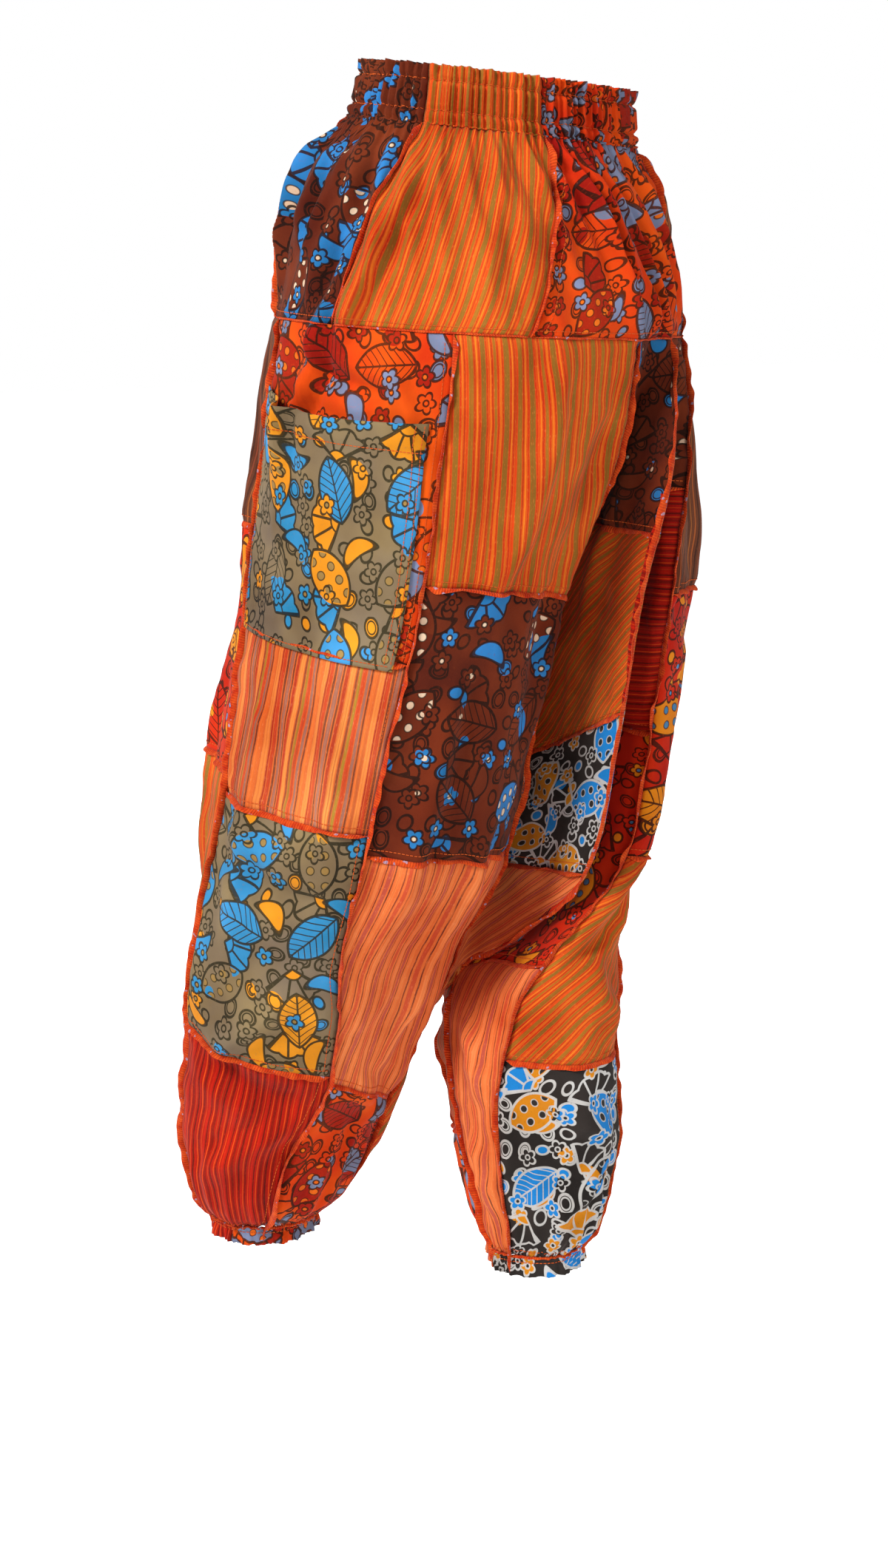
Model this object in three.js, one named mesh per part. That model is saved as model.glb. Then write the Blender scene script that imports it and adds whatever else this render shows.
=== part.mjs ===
// Patchwork harem pants, worn: an elastic waist, a low crotch that hangs in folds between the legs,
// one patch pocket, and elastic cuffs. Every patch is a cloth wall of its own.
// Millimetres and degrees. The origin is the middle of the waist's top edge, +Z is up,
// -Y is the wearer's front and +X the wearer's left.
import * as THREE from "three";

const CLOTH = 1.5; // wall of a patch
const BAND = 4.0; // wall of the waist casing: two layers and the elastic
const CUFF = 3.0; // wall of a cuff casing
const SEAM_GAP = 0.3; // between neighbouring pieces
const ACROSS_STEP = 27; // longest facet round the body
const DOWN_STEP = 36; // longest facet down the leg
const SEAM_STEP = 0.01; // keeps two stations that meet apart on the curve through them
const NEARBY = { ring: 0.05, height: 2 }; // how far off the points lie that give a normal
const INSET_TOWARDS = 0.02; // how far into a patch the point lies that its edge steps back towards
const FOLD_DEPTH = 4; // most that the wall may deepen at a sharp fold, in walls
const STEPS_AT = { yoke: -120, legs: -500, cuffs: -950 }; // the heights where facet widths are measured

const WAIST_FOOT = -43; // where the waist casing ends
const YOKE_FOOT = -195; // where the hip yoke ends
const CROTCH = -730; // the lowest point of the centre seam
const LEFT_CUFF = { top: -940, foot: -956 };
const RIGHT_CUFF = { top: -953, foot: -970 };

// The waist sits higher at the left and at the front, by a slope that dies away down to the hips.
const WAIST_TILT = { left: 0.074, front: 0.082, foot: -400 };

// Each leg is a tube of oval sections. x and y are a section's middle, wide its half-width and deep its
// half-depth. front, side, back and inner are the angles of the long seams round it, counted from the
// outer side, with the wearer's back positive. seam is the angle of the inner leg seam below the crotch.
const LEFT_SECTIONS = [
  { z: 0, x: 0, y: 0, wide: 115, deep: 88, front: -75, side: -18, back: 40, inner: 82 },
  { z: -43, x: 4, y: -2, wide: 124, deep: 96, front: -75, side: -18, back: 42, inner: 84 },
  { z: -80, x: 9, y: -8, wide: 148, deep: 124, front: -76, side: -17, back: 45, inner: 92 },
  { z: -130, x: 10, y: -12, wide: 162, deep: 140, front: -77, side: -16, back: 48, inner: 100 },
  { z: -195, x: 10, y: -12, wide: 172, deep: 150, front: -78, side: -15, back: 51, inner: 107 },
  { z: -290, x: 50, y: -20, wide: 135, deep: 155, front: -88, side: -18, back: 54, inner: 128 },
  { z: -410, x: 75, y: -35, wide: 125, deep: 140, front: -96, side: -16, back: 60, inner: 140 },
  { z: -535, x: 97, y: -44, wide: 125, deep: 138, front: -104, side: -8, back: 57, inner: 142 },
  { z: -630, x: 113, y: -48, wide: 125, deep: 128, front: -110, side: -10, back: 58, inner: 144 },
  { z: -695, x: 134, y: -54, wide: 120, deep: 101, front: -118, side: -14, back: 66, inner: 146 },
  { z: -730, x: 141, y: -56, wide: 118, deep: 92, front: -122, side: -15, back: 72, inner: 146, seam: 155 },
  { z: -765, x: 149, y: -62, wide: 110, deep: 83, front: -124, side: -14, back: 77, inner: 145, seam: 160 },
  { z: -815, x: 158, y: -70, wide: 101, deep: 75, front: -124, side: -13, back: 79, inner: 142, seam: 165 },
  { z: -858, x: 165, y: -80, wide: 91, deep: 68, front: -122, side: -15, back: 72, inner: 140, seam: 170 },
  { z: -902, x: 171, y: -83, wide: 77, deep: 62, front: -120, side: -16, back: 64, inner: 140, seam: 175 },
  { z: -928, x: 176, y: -86, wide: 61, deep: 54, front: -120, side: -16, back: 62, inner: 140, seam: 175 },
  { z: -940, x: 180, y: -89, wide: 46, deep: 45, front: -120, side: -16, back: 60, inner: 140, seam: 175 },
  { z: -956, x: 181, y: -90, wide: 45, deep: 44, front: -120, side: -16, back: 60, inner: 140, seam: 175 },
];
const RIGHT_SECTIONS = [
  { z: 0, x: 0, y: 0, wide: 115, deep: 88, front: -75, side: -25, back: 20, inner: 60 },
  { z: -43, x: 4, y: -2, wide: 124, deep: 96, front: -75, side: -25, back: 18, inner: 56 },
  { z: -80, x: 9, y: -8, wide: 148, deep: 124, front: -76, side: -28, back: 12, inner: 48 },
  { z: -130, x: 10, y: -12, wide: 162, deep: 140, front: -77, side: -30, back: 6, inner: 40 },
  { z: -195, x: 10, y: -12, wide: 172, deep: 150, front: -78, side: -32, back: 2, inner: 33 },
  { z: -290, x: -45, y: -5, wide: 115, deep: 130, front: -85, side: -35, back: 12, inner: 60 },
  { z: -410, x: -57, y: -12, wide: 117, deep: 129, front: -92, side: -38, back: 18, inner: 74 },
  { z: -535, x: -52, y: -20, wide: 110, deep: 117, front: -98, side: -38, back: 20, inner: 69 },
  { z: -630, x: -37, y: -5, wide: 92, deep: 106, front: -104, side: -38, back: 24, inner: 76 },
  { z: -695, x: -20, y: 14, wide: 69, deep: 95, front: -114, side: -38, back: 32, inner: 116 },
  { z: -730, x: -13, y: 30, wide: 63, deep: 91, front: -118, side: -38, back: 38, inner: 140, seam: 208 },
  { z: -765, x: -9, y: 37, wide: 62, deep: 90, front: -118, side: -38, back: 42, inner: 150, seam: 204 },
  { z: -815, x: -3, y: 45, wide: 62, deep: 90, front: -120, side: -38, back: 44, inner: 158, seam: 198 },
  { z: -858, x: 0, y: 54, wide: 60, deep: 85, front: -122, side: -38, back: 45, inner: 160, seam: 193 },
  { z: -902, x: 5, y: 62, wide: 54, deep: 73, front: -122, side: -38, back: 45, inner: 160, seam: 190 },
  { z: -936, x: 10, y: 70, wide: 46, deep: 60, front: -122, side: -38, back: 45, inner: 158, seam: 188 },
  { z: -953, x: 13, y: 74, wide: 41, deep: 42, front: -120, side: -38, back: 45, inner: 155, seam: 186 },
  { z: -970, x: 14, y: 75, wide: 40, deep: 41, front: -120, side: -38, back: 45, inner: 155, seam: 186 },
];

// Between the legs the cloth hangs from the seat. In front it falls into a valley at the centre seam.
// Behind, the centre seam is the edge of a hanging fold, with a valley on each side of it.
const CENTRE = [
  { z: 0, front: [0, -88], back: [-20, 87], leftValley: [-4, 88], rightValley: [-38, 83] },
  { z: -43, front: [4, -98], back: [-20, 92], leftValley: [-5, 93.5], rightValley: [-38, 88] },
  { z: -80, front: [9, -132], back: [-35, 110], leftValley: [-17, 114], rightValley: [-57, 103] },
  { z: -130, front: [10, -152], back: [-61, 116], leftValley: [-44, 120], rightValley: [-84, 104] },
  { z: -195, front: [12, -158], back: [-90, 111], leftValley: [-64, 114], rightValley: [-106, 90] },
  { z: -290, front: [16, -140], back: [-63, 148], leftValley: [-57, 74], rightValley: [-89, 94] },
  { z: -410, front: [20, -118], back: [-41, 136], leftValley: [-50, 10], rightValley: [-79, 62] },
  { z: -535, front: [25, -102], back: [-31, 120], leftValley: [-33, -14], rightValley: [-82, 32] },
  { z: -630, front: [28, -82], back: [-15, 105], leftValley: [-14, -18], rightValley: [-48, 34] },
  { z: -695, front: [29, -50], back: [12, 48], leftValley: [14, -12], rightValley: [0, 42] },
  { z: -730, front: [28, -9], back: [28, -9], leftValley: [36, -7], rightValley: [30, 12] },
];

const radians = THREE.MathUtils.degToRad;

// A smooth curve through points at given knots: cubic pieces whose slopes come from the neighbours.
function through(knots, points, at) {
  const last = knots.length - 1;
  let i = 0;
  while (i < last - 1 && at > knots[i + 1]) i++;
  const slope = (k, axis) => {
    const before = Math.max(k - 1, 0);
    const after = Math.min(k + 1, last);
    return (points[after][axis] - points[before][axis]) / (knots[after] - knots[before]);
  };
  const span = knots[i + 1] - knots[i];
  const t = THREE.MathUtils.clamp((at - knots[i]) / span, 0, 1);
  const t2 = t * t;
  const t3 = t2 * t;
  return [0, 1].map(
    (axis) =>
      (2 * t3 - 3 * t2 + 1) * points[i][axis] +
      (t3 - 2 * t2 + t) * span * slope(i, axis) +
      (3 * t2 - 2 * t3) * points[i + 1][axis] +
      (t3 - t2) * span * slope(i + 1, axis),
  );
}

const span = ([x0, y0], [x1, y1]) => Math.hypot(x1 - x0, y1 - y0);

// The ten stations of one half at one section: 0 centre front, 1 front seam, 3 side seam, 5 back seam,
// 7 inner seam, 8 the valley, 9 centre back. The other stations lie halfway between seams.
function stations(section, outer, valley) {
  const on = (degrees) => [
    section.x + outer * section.wide * Math.cos(radians(degrees)),
    section.y + section.deep * Math.sin(radians(degrees)),
  ];
  const { front, side, back, inner, seam } = section;
  const tube = [front, (front + side) / 2, side, (side + back) / 2, back, (back + inner) / 2, inner].map(on);
  const centre = CENTRE.find((row) => row.z === section.z);
  if (centre) return [centre.front, ...tube, centre[valley], centre.back];
  return [on(seam), ...tube, on((inner + seam) / 2), on(seam)];
}

const HALVES = {
  left: { sections: LEFT_SECTIONS, outer: 1, valley: "leftValley" },
  right: { sections: RIGHT_SECTIONS, outer: -1, valley: "rightValley" },
};
for (const half of Object.values(HALVES)) {
  half.knots = half.sections.map((section) => -section.z);
  half.rows = half.sections.map((section) => stations(section, half.outer, half.valley));
  half.levels = [0];
  for (let i = 1; i < half.sections.length; i++) {
    const [above, below] = [half.sections[i - 1].z, half.sections[i].z];
    const steps = Math.max(1, Math.round((above - below) / DOWN_STEP));
    for (let k = 1; k <= steps; k++) half.levels.push(above + ((below - above) * k) / steps);
  }
}

// A point of one half: station 0 to 9 round it, at height z. Past either end the half goes on into the
// other half above the crotch, and closes on itself below it.
function onHalf(name, station, z) {
  if (station < 0 || station > 9) {
    const past = station < 0 ? -station : 18 - station;
    if (z < CROTCH) return onHalf(name, 9 - past, z);
    return onHalf(name === "left" ? "right" : "left", past, z);
  }
  const { knots, rows } = HALVES[name];
  const keys = rows[0].map((_, k) => {
    const down = rows.map((row) => row[k]);
    return through(knots, down, -z);
  });
  const along = [0];
  for (let k = 1; k < keys.length; k++)
    along.push(along[k - 1] + span(keys[k - 1], keys[k]) + SEAM_STEP);
  const k = Math.min(Math.floor(station), keys.length - 2);
  const [x, y] = through(along, keys, along[k] + (station - k) * (along[k + 1] - along[k]));
  const level = THREE.MathUtils.smoothstep(z, WAIST_TILT.foot, 0);
  return new THREE.Vector3(x, y, z + level * (WAIST_TILT.left * x - WAIST_TILT.front * y));
}

// Round the body a ring number runs 0 to 9 over the left half, from the centre front to the centre back,
// and 9 to 18 over the right half, on to the centre front again.
const onBody = (half, ring, z) => onHalf(half, half === "left" ? ring : 18 - ring, z);

// The same, on the facets between one level and the next, so that neighbours share their seam lines.
function onFacets(half, ring, z) {
  const { levels } = HALVES[half];
  const below = levels.findIndex((level) => level < z);
  if (below < 1) return onBody(half, ring, z);
  const [high, low] = [levels[below - 1], levels[below]];
  return onBody(half, ring, high).lerp(onBody(half, ring, low), (high - z) / (high - low));
}

// The outward normal at a point between two others. It halves the angle that the cloth turns there.
function halfway(half, ring, z, before, point, after) {
  const rise = onBody(half, ring, z + NEARBY.height).sub(onBody(half, ring, z - NEARBY.height));
  const across = after.clone().sub(point).normalize().add(point.clone().sub(before).normalize());
  return across.cross(rise).normalize();
}

// The outward normal at a seam, the same for both its sides. At the crotch point itself it is straight down.
function atSeam(half, ring, z) {
  if (ring % 9 === 0 && Math.abs(z - CROTCH) < 1) return new THREE.Vector3(0, 0, -1);
  const [before, point, after] = [-NEARBY.ring, 0, NEARBY.ring].map((aside) => onBody(half, ring + aside, z));
  return halfway(half, ring, z, before, point, after);
}

// How much deeper a wall goes along the normal at a fold, so that it stays as thick as it is elsewhere.
function miter(point, neighbour, normal) {
  const way = neighbour.clone().sub(point);
  const along = way.clone().projectOnPlane(normal).length();
  return Math.min(FOLD_DEPTH, way.length() / along);
}

// One closed wall from a grid of points on its face and a grid on its back, row by row.
function wall(name, face, back, material) {
  const rows = face.length;
  const columns = face[0].length;
  const at = (side, row, column) => (side * rows + row) * columns + column;
  const triangles = [];
  const quad = (a, b, c, d) => triangles.push(a, b, c, a, c, d);
  for (let r = 0; r < rows - 1; r++)
    for (let c = 0; c < columns - 1; c++) {
      quad(at(0, r, c), at(0, r + 1, c), at(0, r + 1, c + 1), at(0, r, c + 1));
      quad(at(1, r, c), at(1, r, c + 1), at(1, r + 1, c + 1), at(1, r + 1, c));
    }
  const rim = [];
  for (let c = 0; c < columns - 1; c++) rim.push([0, c]);
  for (let r = 0; r < rows - 1; r++) rim.push([r, columns - 1]);
  for (let c = columns - 1; c > 0; c--) rim.push([rows - 1, c]);
  for (let r = rows - 1; r > 0; r--) rim.push([r, 0]);
  rim.forEach(([r, c], i) => {
    const [nextR, nextC] = rim[(i + 1) % rim.length];
    const corners = [at(0, r, c), at(0, nextR, nextC), at(1, nextR, nextC), at(1, r, c)];
    const backwards = nextR < r || nextC < c;
    if (backwards) corners.push(corners.shift()); // so that both sides of a seam fold the same way
    quad(...corners);
  });
  const points = [...face.flat(), ...back.flat()];
  const geometry = new THREE.BufferGeometry().setFromPoints(points);
  geometry.setIndex(triangles);
  const mesh = new THREE.Mesh(geometry, material);
  mesh.name = name;
  return mesh;
}

const pair = (value) => (Array.isArray(value) ? value : [value, value]);

// Where the facet edges lie across a strip from one ring number to another, as shares of its width:
// at every whole ring number, and at steps between them as wide as they are at height z.
function acrossSteps(half, from, to, z) {
  const stops = [from];
  for (let ring = Math.floor(from) + 1; ring < to; ring++) stops.push(ring);
  stops.push(to);
  const shares = [];
  for (let i = 0; i < stops.length - 1; i++) {
    const width = onBody(half, stops[i], z).distanceTo(onBody(half, stops[i + 1], z));
    const steps = Math.max(1, Math.round(width / ACROSS_STEP));
    for (let k = 0; k < steps; k++)
      shares.push((THREE.MathUtils.lerp(stops[i], stops[i + 1], k / steps) - from) / (to - from));
  }
  return [...shares, 1];
}

// The heights of the facet edges down one side of a patch.
function downSteps(half, top, foot) {
  const between = HALVES[half].levels.filter((level) => level < top - 1 && level > foot + 1);
  return [top - SEAM_GAP / 2, ...between, foot + SEAM_GAP / 2];
}

// Splits the longest of a list's steps until it has as many heights as another list.
function padded(heights, count) {
  const list = [...heights];
  while (list.length < count) {
    let longest = 1;
    for (let i = 2; i < list.length; i++)
      if (list[i - 1] - list[i] > list[longest - 1] - list[longest]) longest = i;
    list.splice(longest, 0, (list[longest - 1] + list[longest]) / 2);
  }
  return list;
}

// A patch of cloth between two ring numbers and two levels. A ring number may be a pair, at the top and
// the foot, and a level may be a pair, at the two sides. Each edge stops half a seam gap short of its seam.
// dip lets the middle of the top edge hang, and lift moves the cloth out from the body's surface.
function patch({ name, half = "left", from, to, top, foot, steps, cloth, thick = CLOTH, dip = 0, lift }) {
  const [fromRing, toRing, topLevel, footLevel] = [from, to, top, foot].map(pair);
  const sides = [0, 1].map((side) => downSteps(half, topLevel[side], footLevel[side]));
  const count = Math.max(sides[0].length, sides[1].length);
  const [leftHeights, rightHeights] = sides.map((side) => padded(side, count));
  const { lerp } = THREE.MathUtils;
  const face = [];
  const back = [];
  for (let r = 0; r < count; r++) {
    const v = r / (count - 1);
    const left = lerp(...fromRing, v);
    const right = lerp(...toRing, v);
    const rings = steps.map((u) => lerp(left, right, u));
    const heights = steps.map((u) => {
      const hang = r === 0 ? dip * 4 * u * (1 - u) : 0;
      return lerp(leftHeights[r], rightHeights[r], u) - hang;
    });
    const points = rings.map((ring, i) => onFacets(half, ring, heights[i]));
    const faceRow = [];
    const backRow = [];
    rings.forEach((ring, i) => {
      const z = heights[i];
      const point = points[i].clone();
      const [before, after] = [points[i - 1], points[i + 1]];
      const edge = !before || !after;
      const normal = edge ? atSeam(half, ring, z) : halfway(half, ring, z, before, point, after);
      const depth = thick * miter(point, after ?? before, normal);
      if (edge) {
        const inner = onFacets(half, lerp(ring, before ? left : right, INSET_TOWARDS), z);
        point.add(inner.sub(point).setLength(SEAM_GAP / 2));
      }
      if (lift) point.addScaledVector(normal, lift(steps[i], v));
      faceRow.push(point);
      backRow.push(point.clone().addScaledVector(normal, -depth));
    });
    face.push(faceRow);
    back.push(backRow);
  }
  return wall(name, face, back, CLOTHS[cloth]);
}

const cloth = (color) => new THREE.MeshStandardMaterial({ color, roughness: 0.9, metalness: 0 });
const CLOTHS = {
  orangeStripe: cloth("#d9661c"),
  peachStripe: cloth("#e07a45"),
  multiStripe: cloth("#cf7a4a"),
  redStripe: cloth("#b3230f"),
  brownStripe: cloth("#74492f"),
  brownPrint: cloth("#5f2a17"),
  taupePrint: cloth("#8a7852"),
  redOrangePrint: cloth("#d83a12"),
  blackPrint: cloth("#2f2b29"),
  redPrint: cloth("#c02a12"),
};

// The yoke and, above it, the waist casing: seven pieces all round. from is the ring number of a piece's
// first seam at its top and foot; the piece runs to the next row's from.
const YOKE = [
  { name: "front", from: [-1.5, -1.2], cloth: "peachStripe" },
  { name: "left_front", from: [1.5, 1.2], cloth: "redOrangePrint" },
  { name: "left_side", from: [2.6, 2.7], cloth: "brownPrint" },
  { name: "left_back", from: [4.66, 3.9], cloth: "orangeStripe" },
  { name: "seat", from: [6.86, 5.72], cloth: "redOrangePrint" },
  { name: "right_back", from: [12.25, 11], cloth: "brownStripe" },
  { name: "right_side", from: [15, 14], cloth: "taupePrint" },
  { name: "front", from: [16.5, 16.8], cloth: "peachStripe" },
];

// Below the yoke the patches lie in columns. A row is one patch: its foot level at both of its sides and
// its cloth. It starts at the foot of the row above.
const COLUMNS = [
  {
    column: "left_fly",
    half: "left",
    from: 0,
    to: 1,
    foot: LEFT_CUFF.top,
    patches: [
      { name: "upper", foot: [-425, -430], cloth: "orangeStripe" },
      { name: "middle", foot: [-640, -630], cloth: "blackPrint" },
      { name: "lower", cloth: "multiStripe" },
    ],
  },
  {
    column: "left_front",
    half: "left",
    from: 1,
    to: 3,
    foot: LEFT_CUFF.top,
    patches: [
      { name: "upper", foot: [-350, -355], cloth: "brownStripe" },
      { name: "thigh", foot: [-540, -545], cloth: "redPrint" },
      { name: "knee", foot: [-775, -770], cloth: "orangeStripe" },
      { name: "shin", cloth: "brownPrint" },
    ],
  },
  {
    column: "left_side",
    half: "left",
    from: 3,
    to: 5,
    foot: LEFT_CUFF.top,
    patches: [
      { name: "hip", foot: [-424, -447], cloth: "redOrangePrint" },
      { name: "thigh", foot: [-562, -582], cloth: "multiStripe" },
      { name: "knee", foot: [-755, -795], cloth: "taupePrint" },
      { name: "shin", cloth: "redStripe" },
    ],
  },
  {
    column: "left_back",
    half: "left",
    from: 5,
    to: 7,
    foot: LEFT_CUFF.top,
    patches: [
      { name: "hip", foot: [-385, -405], cloth: "orangeStripe" },
      { name: "thigh", foot: [-597, -622], cloth: "brownPrint" },
      { name: "knee", foot: [-800, -840], cloth: "peachStripe" },
      { name: "calf", cloth: "redOrangePrint" },
    ],
  },
  {
    column: "left_inner",
    half: "left",
    from: 7,
    to: 9,
    foot: LEFT_CUFF.top,
    patches: [
      { name: "seat", foot: -352, cloth: "brownPrint" },
      { name: "drape", foot: [-640, -495], cloth: "orangeStripe" },
      { name: "gusset", foot: [-665, -632], cloth: "blackPrint" },
      { name: "crotch", foot: [-790, -780], cloth: "peachStripe" },
      { name: "shin", cloth: "orangeStripe" },
    ],
  },
  {
    column: "right_inner",
    half: "right",
    from: 9,
    to: 11,
    foot: RIGHT_CUFF.top,
    patches: [
      { name: "seat", foot: [-320, -320], cloth: "brownPrint" },
      { name: "drape", foot: [-525, -525], cloth: "redStripe" },
      { name: "gusset", foot: [CROTCH, -705], cloth: "redPrint" },
      { name: "shin", cloth: "peachStripe" },
    ],
  },
  {
    column: "right_back",
    half: "right",
    from: 11,
    to: 13,
    foot: RIGHT_CUFF.top,
    patches: [
      { name: "hip", foot: [-405, -410], cloth: "brownStripe" },
      { name: "thigh", foot: -625, cloth: "redPrint" },
      { name: "knee", foot: [-785, -785], cloth: "orangeStripe" },
      { name: "calf", cloth: "blackPrint" },
    ],
  },
  {
    column: "right_side",
    half: "right",
    from: 13,
    to: 15,
    foot: RIGHT_CUFF.top,
    patches: [
      { name: "hip", foot: [-440, -435], cloth: "multiStripe" },
      { name: "thigh", foot: [-690, -700], cloth: "brownPrint" },
      { name: "shin", cloth: "redStripe" },
    ],
  },
  {
    column: "right_front",
    half: "right",
    from: 15,
    to: 17,
    foot: RIGHT_CUFF.top,
    patches: [
      { name: "hip", foot: [-400, -410], cloth: "redOrangePrint" },
      { name: "thigh", foot: [-660, -650], cloth: "orangeStripe" },
      { name: "shin", cloth: "taupePrint" },
    ],
  },
  {
    column: "right_fly",
    half: "right",
    from: 17,
    to: 18,
    foot: RIGHT_CUFF.top,
    patches: [
      { name: "upper", foot: [-460, -450], cloth: "redStripe" },
      { name: "middle", foot: [-870, -860], cloth: "orangeStripe" },
      { name: "lower", cloth: "redOrangePrint" },
    ],
  },
];

const pants = new THREE.Group();

for (let i = 0; i < YOKE.length - 1; i++) {
  const { name, from, cloth } = YOKE[i];
  const to = YOKE[i + 1].from;
  const steps = acrossSteps("left", (from[0] + from[1]) / 2, (to[0] + to[1]) / 2, STEPS_AT.yoke);
  const band = { from: from[0], to: to[0], top: 0, foot: WAIST_FOOT, thick: BAND };
  pants.add(patch({ name: `casing_${name}`, ...band, steps, cloth }));
  pants.add(patch({ name: `yoke_${name}`, from, to, top: WAIST_FOOT, foot: YOKE_FOOT, steps, cloth }));
}

for (const { column, half, from, to, foot, patches } of COLUMNS) {
  let top = YOKE_FOOT;
  const steps = acrossSteps(half, from, to, STEPS_AT.legs);
  for (const row of patches) {
    const end = row.foot ?? foot;
    pants.add(patch({ ...row, name: `${column}_${row.name}`, half, from, to, top, foot: end, steps }));
    top = end;
  }
}

const CUFFS = [
  { name: "left_cuff_front", half: "left", from: 0, to: 4, ...LEFT_CUFF, cloth: "redStripe" },
  { name: "left_cuff_back", half: "left", from: 4, to: 9, ...LEFT_CUFF, cloth: "redOrangePrint" },
  { name: "right_cuff_back", half: "right", from: 9, to: 14, ...RIGHT_CUFF, cloth: "blackPrint" },
  { name: "right_cuff_front", half: "right", from: 14, to: 18, ...RIGHT_CUFF, cloth: "peachStripe" },
];
for (const cuff of CUFFS) {
  const steps = acrossSteps(cuff.half, cuff.from, cuff.to, STEPS_AT.cuffs);
  pants.add(patch({ ...cuff, thick: CUFF, steps }));
}

// The patch pocket is sewn down at its sides and foot. Its mouth gapes, most near its front end.
const POCKET = { from: 3.06, to: 4.86, top: [-244, -262], foot: [-430, -452], dip: 6 };
const MOUTH = { gape: 17, widest: 0.42, curve: 1.5 }; // curve: how fast it closes towards the pocket's foot
const SAME_RING = 0.05; // facet edges of the hip closer than this to the pocket's own are left out
const hip = COLUMNS.find(({ column }) => column === "left_side");
const hipSteps = acrossSteps(hip.half, hip.from, hip.to, STEPS_AT.legs);
const pocketSteps = hipSteps
  .map((u) => THREE.MathUtils.lerp(hip.from, hip.to, u))
  .filter((ring) => ring > POCKET.from + SAME_RING && ring < POCKET.to - SAME_RING)
  .map((ring) => (ring - POCKET.from) / (POCKET.to - POCKET.from));
pants.add(
  patch({
    name: "pocket",
    half: "left",
    ...POCKET,
    steps: [0, ...pocketSteps, 1],
    cloth: "taupePrint",
    lift: (u, v) => {
      const across = u < MOUTH.widest ? u / MOUTH.widest : (1 - u) / (1 - MOUTH.widest);
      return SEAM_GAP + CLOTH + MOUTH.gape * across * (2 - across) * (1 - v) ** MOUTH.curve;
    },
  }),
);

export default pants;
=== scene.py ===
# %% [markdown]
# Patchwork harem pants, worn. Every patch is woven cotton, cut roughly square and serged to its
# neighbours, so each is a thin shell of its own here too. This first cell loads the solid model, whose
# pieces say where everything goes.

# %% Load the frame
import math
import bpy
import numpy as np
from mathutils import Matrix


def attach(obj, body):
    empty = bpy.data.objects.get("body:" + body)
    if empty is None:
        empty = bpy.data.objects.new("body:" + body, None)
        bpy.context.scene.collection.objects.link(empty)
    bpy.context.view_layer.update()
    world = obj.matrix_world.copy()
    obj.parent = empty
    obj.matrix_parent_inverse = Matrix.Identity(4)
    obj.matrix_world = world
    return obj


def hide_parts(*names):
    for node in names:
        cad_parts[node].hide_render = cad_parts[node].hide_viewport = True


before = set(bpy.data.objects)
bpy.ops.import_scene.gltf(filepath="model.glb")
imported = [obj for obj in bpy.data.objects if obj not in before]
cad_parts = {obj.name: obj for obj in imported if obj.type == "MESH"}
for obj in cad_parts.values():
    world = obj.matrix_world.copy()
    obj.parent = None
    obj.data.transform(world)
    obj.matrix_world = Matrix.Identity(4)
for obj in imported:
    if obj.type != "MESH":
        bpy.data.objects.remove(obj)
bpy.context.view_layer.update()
print("nodes to dress:", len(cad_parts))

# %% [markdown]
# The camera stands behind the wearer's left, two metres away and a little below the waist, and looks down
# by a few degrees. Its sensor is measured from top to bottom, because the view is taller than wide.

# %% Camera
MM = 0.001
AZIMUTH = math.radians(145)
TILT = math.radians(12.5)
DISTANCE = 2.0
SIDESTEP = 0.044
EYE_Z = -0.13
LENS_MM = 55.87
SENSOR_MM = 36

camera_data = bpy.data.cameras.new("camera")
camera_data.sensor_fit = "VERTICAL"
camera_data.sensor_height = SENSOR_MM
camera_data.lens = LENS_MM
camera = bpy.data.objects.new("camera", camera_data)
bpy.context.scene.collection.objects.link(camera)
camera.location = (
    DISTANCE * math.sin(AZIMUTH) - SIDESTEP * math.cos(AZIMUTH),
    -DISTANCE * math.cos(AZIMUTH) - SIDESTEP * math.sin(AZIMUTH),
    EYE_Z,
)
camera.rotation_euler = (math.pi / 2 - TILT, 0, AZIMUTH)
bpy.context.scene.camera = camera
print("camera at", [round(c, 3) for c in camera.location])

# %% [markdown]
# A white floor and a white sky stand in for a studio, with three square lamps, the strongest from the
# wearer's left. Floor and sky show brighter than they light: the backdrop looks white, and the cloth still
# keeps its shading. The standard view shows each dye in the colour that it is given.

# %% Floor and light
FLOOR_Z = -1.132
FLOOR_REACH = 14
WHITE = (1, 1, 1, 1)
OFF_WHITE = (0.9, 0.9, 0.9, 1)
FLOOR_ROUGHNESS = 0.9
LAMP_AIM_Z = -0.5


def two_strengths(tree, socket, lighting, showing):
    """Feeds a light's strength: one value for the light it gives, and one for how it shows."""
    seen = tree.nodes.new("ShaderNodeLightPath")
    glow = tree.nodes.new("ShaderNodeMapRange")
    glow.inputs["To Min"].default_value = lighting
    glow.inputs["To Max"].default_value = showing
    tree.links.new(seen.outputs["Is Camera Ray"], glow.inputs["Value"])
    tree.links.new(glow.outputs["Result"], socket)


floor_mesh = bpy.data.meshes.new("floor")
floor_corners = [
    (FLOOR_REACH * side, FLOOR_REACH * end, FLOOR_Z) for side, end in ((-1, -1), (1, -1), (1, 1), (-1, 1))
]
floor_mesh.from_pydata(floor_corners, [], [(0, 1, 2, 3)])
floor = bpy.data.objects.new("floor", floor_mesh)
bpy.context.scene.collection.objects.link(floor)
floor_paint = bpy.data.materials.new("floor")
floor_paint.use_nodes = True
floor_mesh.materials.append(floor_paint)
floor_shader = floor_paint.node_tree.nodes["Principled BSDF"]
floor_shader.inputs["Base Color"].default_value = OFF_WHITE
floor_shader.inputs["Roughness"].default_value = FLOOR_ROUGHNESS
floor_shader.inputs["Emission Color"].default_value = WHITE
two_strengths(floor_paint.node_tree, floor_shader.inputs["Emission Strength"], lighting=0.2, showing=0.75)

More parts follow.
